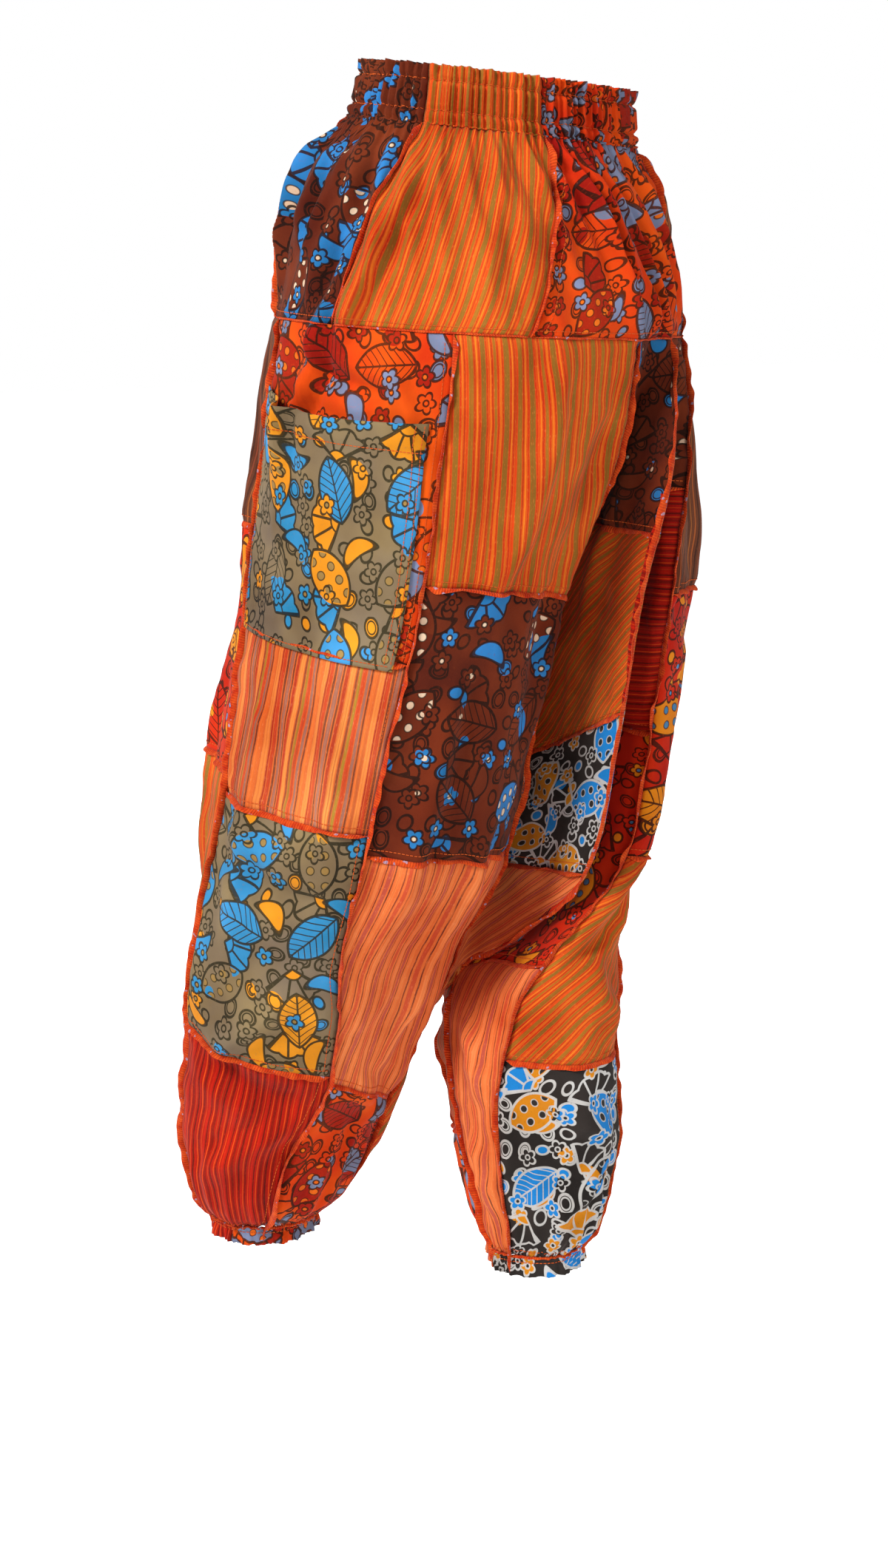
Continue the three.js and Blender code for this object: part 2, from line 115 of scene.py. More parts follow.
world = bpy.data.worlds.new("studio")
world.use_nodes = True
sky = world.node_tree.nodes["Background"]
sky.inputs["Color"].default_value = WHITE
two_strengths(world.node_tree, sky.inputs["Strength"], lighting=0.36, showing=1.0)
bpy.context.scene.world = world
bpy.context.scene.view_settings.view_transform = "Standard"


def lamp(name, azimuth, elevation, distance, width, watts):
    """A square area light at an azimuth and elevation, aimed at the middle of the pants."""
    data = bpy.data.lights.new(name, "AREA")
    data.size = width
    data.energy = watts
    made = bpy.data.objects.new(name, data)
    a, e = math.radians(azimuth), math.radians(elevation)
    made.location = (
        distance * math.sin(a) * math.cos(e),
        -distance * math.cos(a) * math.cos(e),
        LAMP_AIM_Z + distance * math.sin(e),
    )
    made.rotation_euler = (math.pi / 2 - e, 0, a)
    bpy.context.scene.collection.objects.link(made)
    return made


lamps = [
    lamp("key", azimuth=100, elevation=38, distance=3.2, width=0.9, watts=96),
    lamp("fill", azimuth=190, elevation=20, distance=3.5, width=1.8, watts=34),
    lamp("front_fill", azimuth=330, elevation=30, distance=3.5, width=1.8, watts=52),
]
print("lamps:", [made.name for made in lamps])

# %% [markdown]
# The cloth follows one surface. Each leg is a tube of oval sections, and between the legs the cloth hangs
# from the seat: it falls into a valley in front, and behind it hangs in a fold with a valley on each side.
# A short table gives each section, in millimetres, and a smooth curve runs through its stations.

# %% Tables of the worn form
# in millimetres: the cloth's thickness and the heights of the crotch, the yoke's foot and the casing's foot
CLOTH = 1.2
CROTCH = -730
YOKE_FOOT = -195
WAIST_FOOT = -43
# the waist rises to the wearer's left and falls to the back by these shares, less and less down to TILT_FOOT
TILT_LEFT, TILT_BACK, TILT_FOOT = 0.074, -0.082, -400
LEFT_CUFF = (-940, -956)
RIGHT_CUFF = (-953, -970)

# z, middle x, middle y, half-width, half-depth, angles of the front, side, back and inner seams,
# and below the crotch the angle of the inner leg seam
LEFT_SECTIONS = [
    (0, 0, 0, 115, 88, -75, -18, 40, 82),
    (-43, 4, -2, 124, 96, -75, -18, 42, 84),
    (-80, 9, -8, 148, 124, -76, -17, 45, 92),
    (-130, 10, -12, 162, 140, -77, -16, 48, 100),
    (-195, 10, -12, 172, 150, -78, -15, 51, 107),
    (-290, 50, -20, 135, 155, -88, -18, 54, 128),
    (-410, 75, -35, 125, 140, -96, -16, 60, 140),
    (-535, 97, -44, 125, 138, -104, -8, 57, 142),
    (-630, 113, -48, 125, 128, -110, -10, 58, 144),
    (-695, 134, -54, 120, 101, -118, -14, 66, 146),
    (-730, 141, -56, 118, 92, -122, -15, 72, 146, 155),
    (-765, 149, -62, 110, 83, -124, -14, 77, 145, 160),
    (-815, 158, -70, 101, 75, -124, -13, 79, 142, 165),
    (-858, 165, -80, 91, 68, -122, -15, 72, 140, 170),
    (-902, 171, -83, 77, 62, -120, -16, 64, 140, 175),
    (-928, 176, -86, 61, 54, -120, -16, 62, 140, 175),
    (-940, 180, -89, 46, 45, -120, -16, 60, 140, 175),
    (-956, 181, -90, 45, 44, -120, -16, 60, 140, 175),
]
RIGHT_SECTIONS = [
    (0, 0, 0, 115, 88, -75, -25, 20, 60),
    (-43, 4, -2, 124, 96, -75, -25, 18, 56),
    (-80, 9, -8, 148, 124, -76, -28, 12, 48),
    (-130, 10, -12, 162, 140, -77, -30, 6, 40),
    (-195, 10, -12, 172, 150, -78, -32, 2, 33),
    (-290, -45, -5, 115, 130, -85, -35, 12, 60),
    (-410, -57, -12, 117, 129, -92, -38, 18, 74),
    (-535, -52, -20, 110, 117, -98, -38, 20, 69),
    (-630, -37, -5, 92, 106, -104, -38, 24, 76),
    (-695, -20, 14, 69, 95, -114, -38, 32, 116),
    (-730, -13, 30, 63, 91, -118, -38, 38, 140, 208),
    (-765, -9, 37, 62, 90, -118, -38, 42, 150, 204),
    (-815, -3, 45, 62, 90, -120, -38, 44, 158, 198),
    (-858, 0, 54, 60, 85, -122, -38, 45, 160, 193),
    (-902, 5, 62, 54, 73, -122, -38, 45, 160, 190),
    (-936, 10, 70, 46, 60, -122, -38, 45, 158, 188),
    (-953, 13, 74, 41, 42, -120, -38, 45, 155, 186),
    (-970, 14, 75, 40, 41, -120, -38, 45, 155, 186),
]
# z: where the centre front, the centre back and the valleys on its left and right lie
CENTRE = {
    0: ((0, -88), (-20, 87), (-4, 88), (-38, 83)),
    -43: ((4, -98), (-20, 92), (-5, 93.5), (-38, 88)),
    -80: ((9, -132), (-35, 110), (-17, 114), (-57, 103)),
    -130: ((10, -152), (-61, 116), (-44, 120), (-84, 104)),
    -195: ((12, -158), (-90, 111), (-64, 114), (-106, 90)),
    -290: ((16, -140), (-63, 148), (-57, 74), (-89, 94)),
    -410: ((20, -118), (-41, 136), (-50, 10), (-79, 62)),
    -535: ((25, -102), (-31, 120), (-33, -14), (-82, 32)),
    -630: ((28, -82), (-15, 105), (-14, -18), (-48, 34)),
    -695: ((29, -50), (12, 48), (14, -12), (0, 42)),
    -730: ((28, -9), (28, -9), (36, -7), (30, 12)),
}

# %% [markdown]
# Ring numbers count round the body: 0 is the centre front, 3 the wearer's left side seam, 9 the centre back
# and 15 the right side seam. A ring number and a height give a point. The curve is a cubic one, whose slope
# at each station is that of the line between the two beside it.

# %% The surface
FRONT, BACK = 0, 1
LEFT_VALLEY, RIGHT_VALLEY = 2, 3
LAST = 9
ROUND = 2 * LAST
TINY = 1e-9
LEAST_CHORD = 0.01
# how far to either side and up or down, in ring numbers and millimetres, the neighbours of a point lie
ASIDE_RING, ASIDE_UP = 0.06, 2.5


def smoothstep(x, low, high):
    """A soft step: 0 below low, 1 above high, and 3 t squared less 2 t cubed between."""
    t = np.clip((x - low) / (high - low), 0, 1)
    return t * t * (3 - 2 * t)


def unit(vectors):
    """The vectors, each divided by its own length."""
    return vectors / np.maximum(np.linalg.norm(vectors, axis=-1, keepdims=True), TINY)


def hermite(start, end, start_slope, end_slope, span, t):
    """The cubic that leaves start and meets end at the slopes given."""
    t2, t3 = t * t, t * t * t
    return (
        (2 * t3 - 3 * t2 + 1) * start
        + (t3 - 2 * t2 + t) * span * start_slope
        + (3 * t2 - 2 * t3) * end
        + (t3 - t2) * span * end_slope
    )


def station_table(sections, outer, valley):
    """Every section's ten stations, as an array of sections by stations by x and y. A station is where the
    section's oval meets an angle: the middle plus half-width times cosine, and half-depth times sine.
    outer is 1 where x grows towards the leg's outside, and -1 where it falls."""
    rows = []
    for z, x, y, wide, deep, front, side, back, inner, *seam in sections:
        middles = [front, (front + side) / 2, side, (side + back) / 2, back, (back + inner) / 2, inner]
        inner_leg = [(inner + seam[0]) / 2, seam[0]] if seam else [inner, inner]
        angles = np.radians([inner_leg[1], *middles, *inner_leg])
        row = np.stack([x + outer * wide * np.cos(angles), y + deep * np.sin(angles)], axis=1)
        if z in CENTRE:
            row[0], row[-1], row[-2] = CENTRE[z][FRONT], CENTRE[z][BACK], CENTRE[z][valley]
        rows.append(row)
    return np.array([-section[0] for section in sections], float), np.array(rows)


TUBES = {
    "left": station_table(LEFT_SECTIONS, 1, LEFT_VALLEY),
    "right": station_table(RIGHT_SECTIONS, -1, RIGHT_VALLEY),
}


def on_tube(half, station, z):
    """Points of one half at station numbers 0 to 9 and heights z, in millimetres: a cubic down the
    sections at each station, then a cubic round through the stations."""
    knots, rows = TUBES[half]
    i = np.clip(np.searchsorted(knots, -z, side="right") - 1, 0, len(knots) - 2)
    before, after, beyond = np.maximum(i - 1, 0), i + 1, np.minimum(i + 2, len(knots) - 1)
    span = knots[after] - knots[i]
    t = np.clip((-z - knots[i]) / span, 0, 1)
    column = (slice(None), None, None)
    keys = hermite(
        rows[i],
        rows[after],
        (rows[after] - rows[before]) / (knots[after] - knots[before])[column],
        (rows[beyond] - rows[i]) / (knots[beyond] - knots[i])[column],
        span[column],
        t[column],
    )
    chords = np.linalg.norm(np.diff(keys, axis=1), axis=2) + LEAST_CHORD
    along = np.concatenate([np.zeros((len(z), 1)), np.cumsum(chords, axis=1)], axis=1)
    n = np.arange(len(z))
    k = np.clip(np.floor(station).astype(int), 0, LAST - 1)
    left, right, far = np.maximum(k - 1, 0), k + 1, np.minimum(k + 2, LAST)
    step = along[n, right] - along[n, k]
    xy = hermite(
        keys[n, k],
        keys[n, right],
        (keys[n, right] - keys[n, left]) / (along[n, right] - along[n, left])[:, None],
        (keys[n, far] - keys[n, k]) / (along[n, far] - along[n, k])[:, None],
        step[:, None],
        (station - k)[:, None],
    )
    lift = smoothstep(z, TILT_FOOT, 0) * (TILT_LEFT * xy[:, 0] + TILT_BACK * xy[:, 1])
    return np.column_stack([xy, z + lift])


def on_body(half, ring, z):
    """Points at ring numbers and heights. Past either end a half goes on into the other one above the
    crotch, and closes on itself below it."""
    ring, z = np.broadcast_arrays(np.asarray(ring, float), np.asarray(z, float))
    shape = ring.shape
    ring, z = ring.ravel(), z.ravel()
    station = ring if half == "left" else ROUND - ring
    past = np.where(station < 0, -station, ROUND - station)
    outside = (station < 0) | (station > LAST)
    closed = outside & (z < CROTCH)
    own = np.where(closed, LAST - past, np.where(outside, 0, station))
    points = on_tube(half, own, z)
    across = outside & ~closed
    if across.any():
        other = "right" if half == "left" else "left"
        points[across] = on_tube(other, past[across], z[across])
    return points.reshape(*shape, 3)


def outward(half, ring, z):
    """Unit normals: the cross product of the way round and the way up, each from points a little to
    either side."""
    across = on_body(half, ring + ASIDE_RING, z) - on_body(half, ring - ASIDE_RING, z)
    rise = on_body(half, ring, z + ASIDE_UP) - on_body(half, ring, z - ASIDE_UP)
    return unit(np.cross(across, rise))


print("a point at the left side seam:", on_body("left", 3, -195).round(1))

# %% [markdown]
# The cloth has creases of three kinds. Elastic draws it into close gathers at the waist and the ankles. Its
# own weight and the legs inside it make long soft folds, which a table places all round. And washing
# leaves small crumples everywhere, most of them at the seams, where the thread draws the cloth in.

# %% Creases
# heights, depths, widths, pitches and reaches in millimetres
WAIST_ROWS = (-11, -33)
ROW_HALF = 2.0
GATHER_PITCH, GATHER_WIDE = 6.6, 2.7 * 6.6
GATHER_REACH, GATHER_REACH_VARIES = 62, 45
CASING_HEIGHT, CASING_WIDE_HEIGHT, CASING_ROW_DEPTH = 7.2, 2.4, 2.4
RUFFLE_HEIGHT, RUFFLE_WAVE = 2.4, 3.1
UNDER_HEIGHT, UNDER_WIDE_HEIGHT, UNDER_SINK = 3.8, 8.5, 3.5
CUFF_PITCH, CUFF_WIDE = 5.6, 2.5 * 5.6
CUFF_REACH, CUFF_REACH_VARIES = 40, 25
CUFF_ROW = 5
CUFF_HEIGHT, CUFF_ROW_DEPTH = 3.0, 1.0
FLARE_HEIGHT, FLARE_WAVE = 1.8, 2.7
ABOVE_HEIGHT, ABOVE_WIDE_HEIGHT = 3.2, 5.5
# shares: the ridges' mean heights, how much a row of stitching flattens, and how fast gathers die out
MEAN_RIDGE, MEAN_PLEAT, MEAN_CUFF_PLEAT = 0.4, 0.42, 0.35
ROW_FLATTENS, CUFF_ROW_FLATTENS = 0.45, 0.6
FADE = 1.4

# the table's heights are scaled up by this, a fold's ends fade over these shares of its length, and its
# troughs lie this many half-widths away
FOLD_SCALE = 1.5
FOLD_FADES = (-0.05, 0.3)
TROUGH_AWAY, TROUGH_SHARE = 1.9, 0.3
# a half's folds are lower in a strip beside its own edges, from this far from its middle
HALF_EDGE, EDGE_SHARE = 4.45, 0.8
# size, height and the random pattern's number
CRUMPLES = ((36, 4.4, 31), (18, 2.0, 37), (9, 0.8, 41))
CRUMPLE_TALL = np.array([1.0, 1.0, 1.9])
CRUMPLE_MEAN = 0.45
CROTCH_POINT = np.array([28, -9, CROTCH])

# ring number and height at each end, half-width and height of the ridge, in millimetres, and which way
# it leans. A negative height makes a trough.
FOLDS = [
    # the yoke at the wearer's left and behind, under the gathers
    (4.75, -70, 3.95, -215, 9, 8, 0.7),
    (4.3, -60, 3.55, -200, 8, -6, 0.0),
    (3.9, -160, 3.45, -320, 9, 8, 0.6),
    (4.0, -40, 3.3, -170, 7, 4, 0.3),
    (5.9, -45, 5.3, -175, 8, 4, 0.3),
    (7.25, -45, 6.9, -200, 7, 7, 0.4),
    (7.8, -45, 7.5, -180, 6, 6, -0.3),
    (8.4, -45, 8.1, -200, 7, 8, 0.5),
    (9.1, -45, 8.9, -190, 7, 6, -0.3),
    (9.9, -45, 9.8, -195, 8, 7, 0.4),
    (10.8, -45, 10.7, -190, 8, 5, -0.4),
    (12.2, -45, 11.9, -180, 10, 6, 0.4),
    (13.4, -45, 13.1, -190, 10, 5, 0.1),
    (14.6, -45, 14.9, -180, 9, 6, 0.3),
    (15.9, -45, 15.7, -190, 9, 5, -0.3),
    (17.2, -45, 17.0, -180, 10, 6, 0.3),
    (0.6, -45, 0.8, -190, 10, 6, -0.3),
    (1.8, -45, 2.0, -185, 9, 6, 0.2),
    (2.8, -45, 2.7, -180, 9, 5, 0.5),
    (3.5, -45, 3.2, -150, 8, 5, 0.2),
    # hips and seat
    (6.1, -200, 5.6, -420, 13, 6, 0.4),
    (7.0, -210, 6.6, -560, 14, 7, -0.3),
    (7.6, -230, 7.7, -520, 12, 5, 0.3),
    (8.4, -230, 8.5, -480, 10, 4, 0.0),
    (4.4, -205, 4.9, -300, 9, 4, 0.3),
    (3.4, -215, 4.6, -250, 8, -4, 0.0),
    (10.9, -210, 10.9, -480, 13, 6, 0.4),
    (12.0, -205, 12.2, -430, 13, 6, -0.3),
    (13.2, -205, 13.0, -390, 11, 5, 0.4),
    (14.3, -215, 14.4, -420, 13, 6, 0.3),
    (15.7, -210, 15.9, -400, 12, 6, -0.3),
    (16.7, -210, 16.6, -430, 12, 5, 0.3),
    (0.5, -210, 0.7, -430, 12, 6, 0.3),
    (1.5, -205, 1.7, -380, 12, 5, -0.3),
    (2.3, -210, 2.5, -400, 11, 5, 0.3),
    # thighs and knees
    (3.6, -455, 3.5, -700, 12, 5, 0.3),
    (4.3, -455, 4.6, -600, 10, 4, -0.3),
    (5.5, -430, 5.4, -690, 12, 6, 0.3),
    (6.2, -560, 5.8, -800, 12, 6, -0.3),
    (6.7, -640, 6.4, -880, 10, 5, 0.3),
    (3.1, -600, 4.9, -650, 11, -5, 0.2),
    (4.8, -700, 3.4, -790, 13, 6, 0.4),
    (3.3, -760, 4.9, -830, 12, -5, 0.0),
    (4.9, -830, 3.6, -900, 12, 5, -0.3),
    (5.3, -800, 6.6, -850, 10, 5, 0.2),
    (6.8, -560, 8.6, -650, 13, 6, 0.4),
    (7.3, -470, 8.7, -590, 11, 5, -0.3),
    (7.4, -700, 8.6, -790, 11, 5, 0.2),
    (7.6, -800, 8.2, -920, 9, 5, 0.2),
    (0.4, -450, 0.6, -640, 11, 5, 0.3),
    (1.4, -420, 1.5, -650, 12, 6, -0.3),
    (2.4, -430, 2.2, -700, 12, 6, 0.3),
    (0.6, -660, 2.6, -740, 12, 6, 0.3),
    (2.7, -740, 0.8, -830, 12, 6, -0.3),
    (0.8, -830, 2.4, -900, 10, 5, 0.2),
    (11.6, -440, 11.3, -700, 12, 6, 0.3),
    (12.4, -440, 12.5, -620, 12, 5, -0.3),
    (11.4, -700, 12.8, -770, 11, 6, 0.3),
    (12.7, -640, 11.2, -720, 12, -5, 0.2),
    (11.3, -800, 12.7, -860, 11, 6, -0.3),
    (12.6, -860, 11.6, -930, 9, 5, 0.3),
    (13.5, -450, 13.6, -690, 12, 6, 0.3),
    (14.5, -450, 14.3, -700, 12, 5, -0.3),
    (15.4, -420, 15.6, -650, 12, 6, 0.3),
    (16.4, -430, 16.3, -680, 12, 5, -0.3),
    (17.4, -450, 17.3, -640, 12, 6, 0.3),
    (13.3, -740, 15.2, -800, 12, 6, 0.3),
    (15.3, -800, 13.4, -870, 11, 6, -0.3),
    (15.3, -700, 17.4, -760, 12, 6, 0.2),
    (17.5, -790, 15.5, -870, 11, 5, 0.3),
    (9.6, -560, 10.6, -640, 10, 4, 0.3),
    (9.7, -760, 10.6, -830, 10, 5, 0.2),
    (9.6, -850, 10.6, -920, 9, 5, -0.2),
]


def noise(points, size, seed):
    """Smooth random values from -1 to 1: a random value at each corner of a cubic lattice, blended
    between with the soft step. size is the lattice's step along each axis."""
    p = np.asarray(points, float) / size + 57.3 * seed
    cell = np.floor(p)
    f = p - cell
    f = f * f * (3 - 2 * f)
    hashes = np.array([127.1, 311.7, 74.7])[: p.shape[-1]]
    total = 0
    for corner in range(2 ** p.shape[-1]):
        bits = np.array([(corner >> axis) & 1 for axis in range(p.shape[-1])])
        at = cell + bits
        hashed = np.sin(at @ hashes + seed) * 43758.5453
        weight = np.prod(np.where(bits, f, 1 - f), axis=-1)
        total = total + weight * (2 * (hashed - np.floor(hashed)) - 1)
    return total


def ridges(x, pitch, seed):
    """Uneven rounded ridges from 0 to 1 along x, about a pitch apart: half of one plus the cosine, whose
    phase and height wander by noise."""
    line = x[..., None]
    phase = x / pitch + 0.55 * noise(line, 3.1 * pitch, seed) + 0.2 * noise(line, 1.3 * pitch, seed + 1)
    tall = 0.7 + 0.3 * noise(line, 2.2 * pitch, seed + 2)
    return tall * (0.5 + 0.5 * np.cos(2 * np.pi * phase)) ** 1.4


def run_length(half, z, ends):
    """How far round from the first ring number every ring number lies at height z, as a table."""
    rings = np.linspace(*ends, 721)
    points = on_body(half, rings, np.full_like(rings, z))
    return rings, np.concatenate([[0], np.cumsum(np.linalg.norm(np.diff(points, axis=0), axis=1))])


WAIST_RUN = run_length("left", WAIST_FOOT, (-3, ROUND + 3))
CUFF_RUN = {
    "left": run_length("left", LEFT_CUFF[0], (0, 9)),
    "right": run_length("right", RIGHT_CUFF[0], (9, 18)),
}


def waist_gathers(ring, z):
    """Close pleats in the waist casing, pressed flat along its rows of stitching, a ruffle over them, and
    longer gathers that die out at uneven lengths under it."""
    line = np.interp(ring, *WAIST_RUN)
    wave = ridges(line, GATHER_PITCH, 3)
    wide_wave = ridges(line, GATHER_WIDE, 7) - MEAN_RIDGE
    below = WAIST_FOOT - z
    casing = z > WAIST_FOOT
    reach = GATHER_REACH + GATHER_REACH_VARIES * noise(line[..., None], 21, 11)
    close = np.where(casing, 0, (1 - np.clip(below / reach, 0, 1)) ** FADE)
    spread = smoothstep(below, -8, 30) * (1 - smoothstep(below, 60, 165))
    under = close * UNDER_HEIGHT * (wave - MEAN_RIDGE) + spread * (UNDER_WIDE_HEIGHT * wide_wave - UNDER_SINK)
    rows = sum(np.exp(-(((z - row) / ROW_HALF) ** 2)) for row in (*WAIST_ROWS, WAIST_FOOT + 1))
    deep = 1 - ROW_FLATTENS * np.clip(rows, 0, 1)
    pleats = deep * CASING_HEIGHT * (wave - MEAN_PLEAT) - CASING_ROW_DEPTH * rows
    pleats = pleats + CASING_WIDE_HEIGHT * wide_wave
    ripple = np.sin(line / RUFFLE_WAVE + 3 * noise(line[..., None], 17, 5))
    ruffle = smoothstep(z, WAIST_ROWS[0], 0) * RUFFLE_HEIGHT * ripple
    return under + np.where(casing, pleats + ruffle, 0)


def cuff_gathers(half, ring, z):
    """The same at the ankle: pleats in the cuff, pressed flat by one row, a flare at its foot, and
    gathers that die out over it."""
    top, foot = LEFT_CUFF if half == "left" else RIGHT_CUFF
    line = np.interp(ring, *CUFF_RUN[half])
    wave = ridges(line, CUFF_PITCH, 13)
    wide_wave = ridges(line, CUFF_WIDE, 17) - MEAN_RIDGE
    reach = CUFF_REACH + CUFF_REACH_VARIES * noise(line[..., None], 16, 19)
    close = np.where(z > top, (1 - np.clip((z - top) / reach, 0, 1)) ** FADE, 0)
    spread = smoothstep(z, top - 5, top + 25) * (1 - smoothstep(z, top + 45, top + 130))
    above = close * ABOVE_HEIGHT * (wave - MEAN_RIDGE) + spread * ABOVE_WIDE_HEIGHT * wide_wave
    row = np.exp(-(((z - top + CUFF_ROW) / ROW_HALF) ** 2))
    pleats = (1 - CUFF_ROW_FLATTENS * row) * CUFF_HEIGHT * (wave - MEAN_CUFF_PLEAT) - CUFF_ROW_DEPTH * row
    ripple = np.sin(line / FLARE_WAVE + 2 * noise(line[..., None], 13, 5))
    flare = smoothstep(top - z, CUFF_ROW, top - foot) * FLARE_HEIGHT * ripple
    return above + np.where(z <= top, pleats + flare, 0)


def long_folds(half, ring, z):
    """The table's folds. Along a fold t runs from 0 to 1, and s is the distance from its line in
    half-widths, bent by noise and by its lean. Its height is a bell curve of s, less a lower one at each
    side, and it fades at both ends."""
    reach = 0.25
    span = on_body(half, ring + reach, z) - on_body(half, ring - reach, z)
    per_ring = np.linalg.norm(span, axis=-1) / (2 * reach)
    total = np.zeros_like(ring)
    middle = LAST / 2 if half == "left" else ROUND - LAST / 2
    for ring_0, z_0, ring_1, z_1, width, height, lean in FOLDS:
        above = min(z_0, z_1) > CROTCH
        if not above and (ring_0 < LAST) != (half == "left"):
            continue
        away = (ring - ring_0 + LAST) % ROUND - LAST if above else ring - ring_0
        x, y = away * per_ring, z - z_0
        run_x, run_y = (ring_1 - ring_0) * per_ring, z_1 - z_0
        length = np.hypot(run_x, run_y)
        t = (x * run_x + y * run_y) / length**2
        s = (x * run_y - y * run_x) / length / width
        s = s + 0.35 * noise(np.stack([t * 6, s * 0 + ring_0], axis=-1), 1, 23)
        s = s / (1 + lean * 0.6 * np.tanh(s))
        troughs = np.exp(-((s - TROUGH_AWAY) ** 2)) + np.exp(-((s + TROUGH_AWAY) ** 2))
        crest = np.exp(-s * s) - TROUGH_SHARE * troughs
        ends = smoothstep(t, *FOLD_FADES) * smoothstep(1 - t, *FOLD_FADES)
        total = total + FOLD_SCALE * height * crest * ends
    return total * np.where(np.abs(ring - middle) > HALF_EDGE, EDGE_SHARE, 1.0)


def crumples(points):
    """Small sharp-crested crumples at three sizes, taller than they are wide: each is its mean less the
    size of a noise, which is sharp where the noise crosses zero."""
    return sum(
        height * (CRUMPLE_MEAN - np.abs(noise(points, size * CRUMPLE_TALL, seed)))
        for size, height, seed in CRUMPLES
    )


def relief(half, ring, z, points):
    """How far the cloth stands out from the smooth form, in millimetres. It calms down at the crotch,
    where the patches meet in a point, and the waist has no crumples."""
    calm = smoothstep(np.linalg.norm(points - CROTCH_POINT, axis=-1), 5, 70)
    body = smoothstep(WAIST_FOOT - z, 0, 40)
    gathers = waist_gathers(ring, z) + cuff_gathers(half, ring, z)
    return calm * (gathers + long_folds(half, ring, z) + body * crumples(points))


print("long folds:", len(FOLDS))

# %% [markdown]
# A stripe is a band of one colour across the cloth's width, so it is drawn with the cloth's own flat
# coordinates, which follow it through every fold. The stonewash is a slow change of brightness over it.
# One small class wraps a shader socket, so that the sums below read like ordinary ones.


# %% Shader helpers
# in metres: how softly a motif's edge changes, and the weave's step and height
EDGE = 0.0004
THREAD_STEP, THREAD_HEIGHT = 0.0007, 0.00003
COTTON = {
    "Roughness": 0.88,
    "Specular IOR Level": 0.12,
    "Sheen Weight": 0.08,
    "Sheen Roughness": 0.45,
    "Sheen Tint": (1.0, 0.85, 0.75, 1),
}


class Value:
    """A shader socket that takes part in ordinary sums."""

    def __init__(self, graph, socket):
        self.graph = graph
        self.socket = socket

    def math(self, operation, *others):
        return self.graph.math(operation, self, *others)

    def __add__(self, other):
        return self.math("ADD", other)

    __radd__ = __add__

    def __sub__(self, other):
        return self.math("SUBTRACT", other)

    def __rsub__(self, other):
        return self.graph.math("SUBTRACT", other, self)

    def __mul__(self, other):
        return self.math("MULTIPLY", other)

    __rmul__ = __mul__

    def __truediv__(self, other):
        return self.math("DIVIDE", other)

    def __rtruediv__(self, other):
        return self.graph.math("DIVIDE", other, self)

    def __neg__(self):
        return self * -1

    def __abs__(self):
        return self.math("ABSOLUTE")

    def below(self, edge, soft):
        """1 where the value is under edge and 0 over it, with a soft change between."""
        return ((edge - self) / soft + 0.5).clamped()

    def clamped(self):
        return self.math("MINIMUM", 1.0).math("MAXIMUM", 0.0)

    def fraction(self):
        return self.math("FRACT")


class Graph:
    """The nodes of one material."""

    def __init__(self, name):
        self.material = bpy.data.materials.new(name)
        self.material.use_nodes = True
        self.tree = self.material.node_tree
        self.shader = self.tree.nodes["Principled BSDF"]

    def node(self, kind, settings, sockets, output=0):
        """Adds a node: its settings first, then a value or a link for each socket named."""
        made = self.tree.nodes.new(kind)
        for key, value in settings.items():
            setattr(made, key, value)
        for key, value in sockets.items():
            if isinstance(value, Value):
                self.tree.links.new(value.socket, made.inputs[key])
            else:
                made.inputs[key].default_value = value
        return Value(self, made.outputs[output])

    def math(self, operation, *values):
        return self.node("ShaderNodeMath", {"operation": operation}, dict(enumerate(values)))

    def mix(self, share, first, second):
        """The first colour where share is 0 and the second where it is 1."""
        sockets = {0: share, 6: first, 7: second}
        return self.node("ShaderNodeMix", {"data_type": "RGBA"}, sockets, output=2)

    def uv(self):
        """How far across and how far along the flat cloth a point lies, in metres."""
        flat = self.node("ShaderNodeUVMap", {"uv_map": "flat"}, {})
        return self.split(flat)

    def split(self, vector):
        return [self.node("ShaderNodeSeparateXYZ", {}, {0: vector}, output=axis) for axis in (0, 1)]

    def join(self, x, y, z=0.0):
        return self.node("ShaderNodeCombineXYZ", {}, {0: x, 1: y, 2: z})

    def clouds(self, scale, detail=2.0, vector=None):
        """Soft noise, from 0 to 1, whose patches measure about 1 / scale metres."""
        if vector is None:
            vector = self.node("ShaderNodeTexCoord", {}, {}, output=3)
        sockets = {"Vector": vector, "Scale": scale, "Detail": detail}
        return self.node("ShaderNodeTexNoise", {}, sockets)

    def finish(self, colour, height, strength=0.5):
        """Joins the colour and a bump height in metres to the shader, and sets the cotton's own finish.
        The height gets fine crumples, over a millimetre deep at the larger of two sizes."""
        fine = (self.clouds(60.0, 3.0) - 0.5) * 0.0012 + (self.clouds(240.0, 2.0) - 0.5) * 0.00025
        sockets = {"Strength": strength, "Distance": 1.0, "Height": height + fine}
        bump = self.node("ShaderNodeBump", {}, sockets)
        self.tree.links.new(colour.socket, self.shader.inputs["Base Color"])
        self.tree.links.new(bump.socket, self.shader.inputs["Normal"])
        for socket, value in COTTON.items():
            self.shader.inputs[socket].default_value = value
        return self.material


def rgb(code):
    """A colour written as six hexadecimal digits, as the linear values that a shader needs."""
    parts = [int(code[i : i + 2], 16) / 255 for i in (0, 2, 4)]
    return (*[c / 12.92 if c <= 0.04045 else ((c + 0.055) / 1.055) ** 2.4 for c in parts], 1)


def weave(across, along):
    """The height of a plain weave, in metres: a sine wave across times one along, so that high and low
    threads alternate as on a chessboard."""
    warp, weft = [(value * (2 * math.pi / THREAD_STEP)).math("SINE") for value in (across, along)]
    return warp * weft * THREAD_HEIGHT


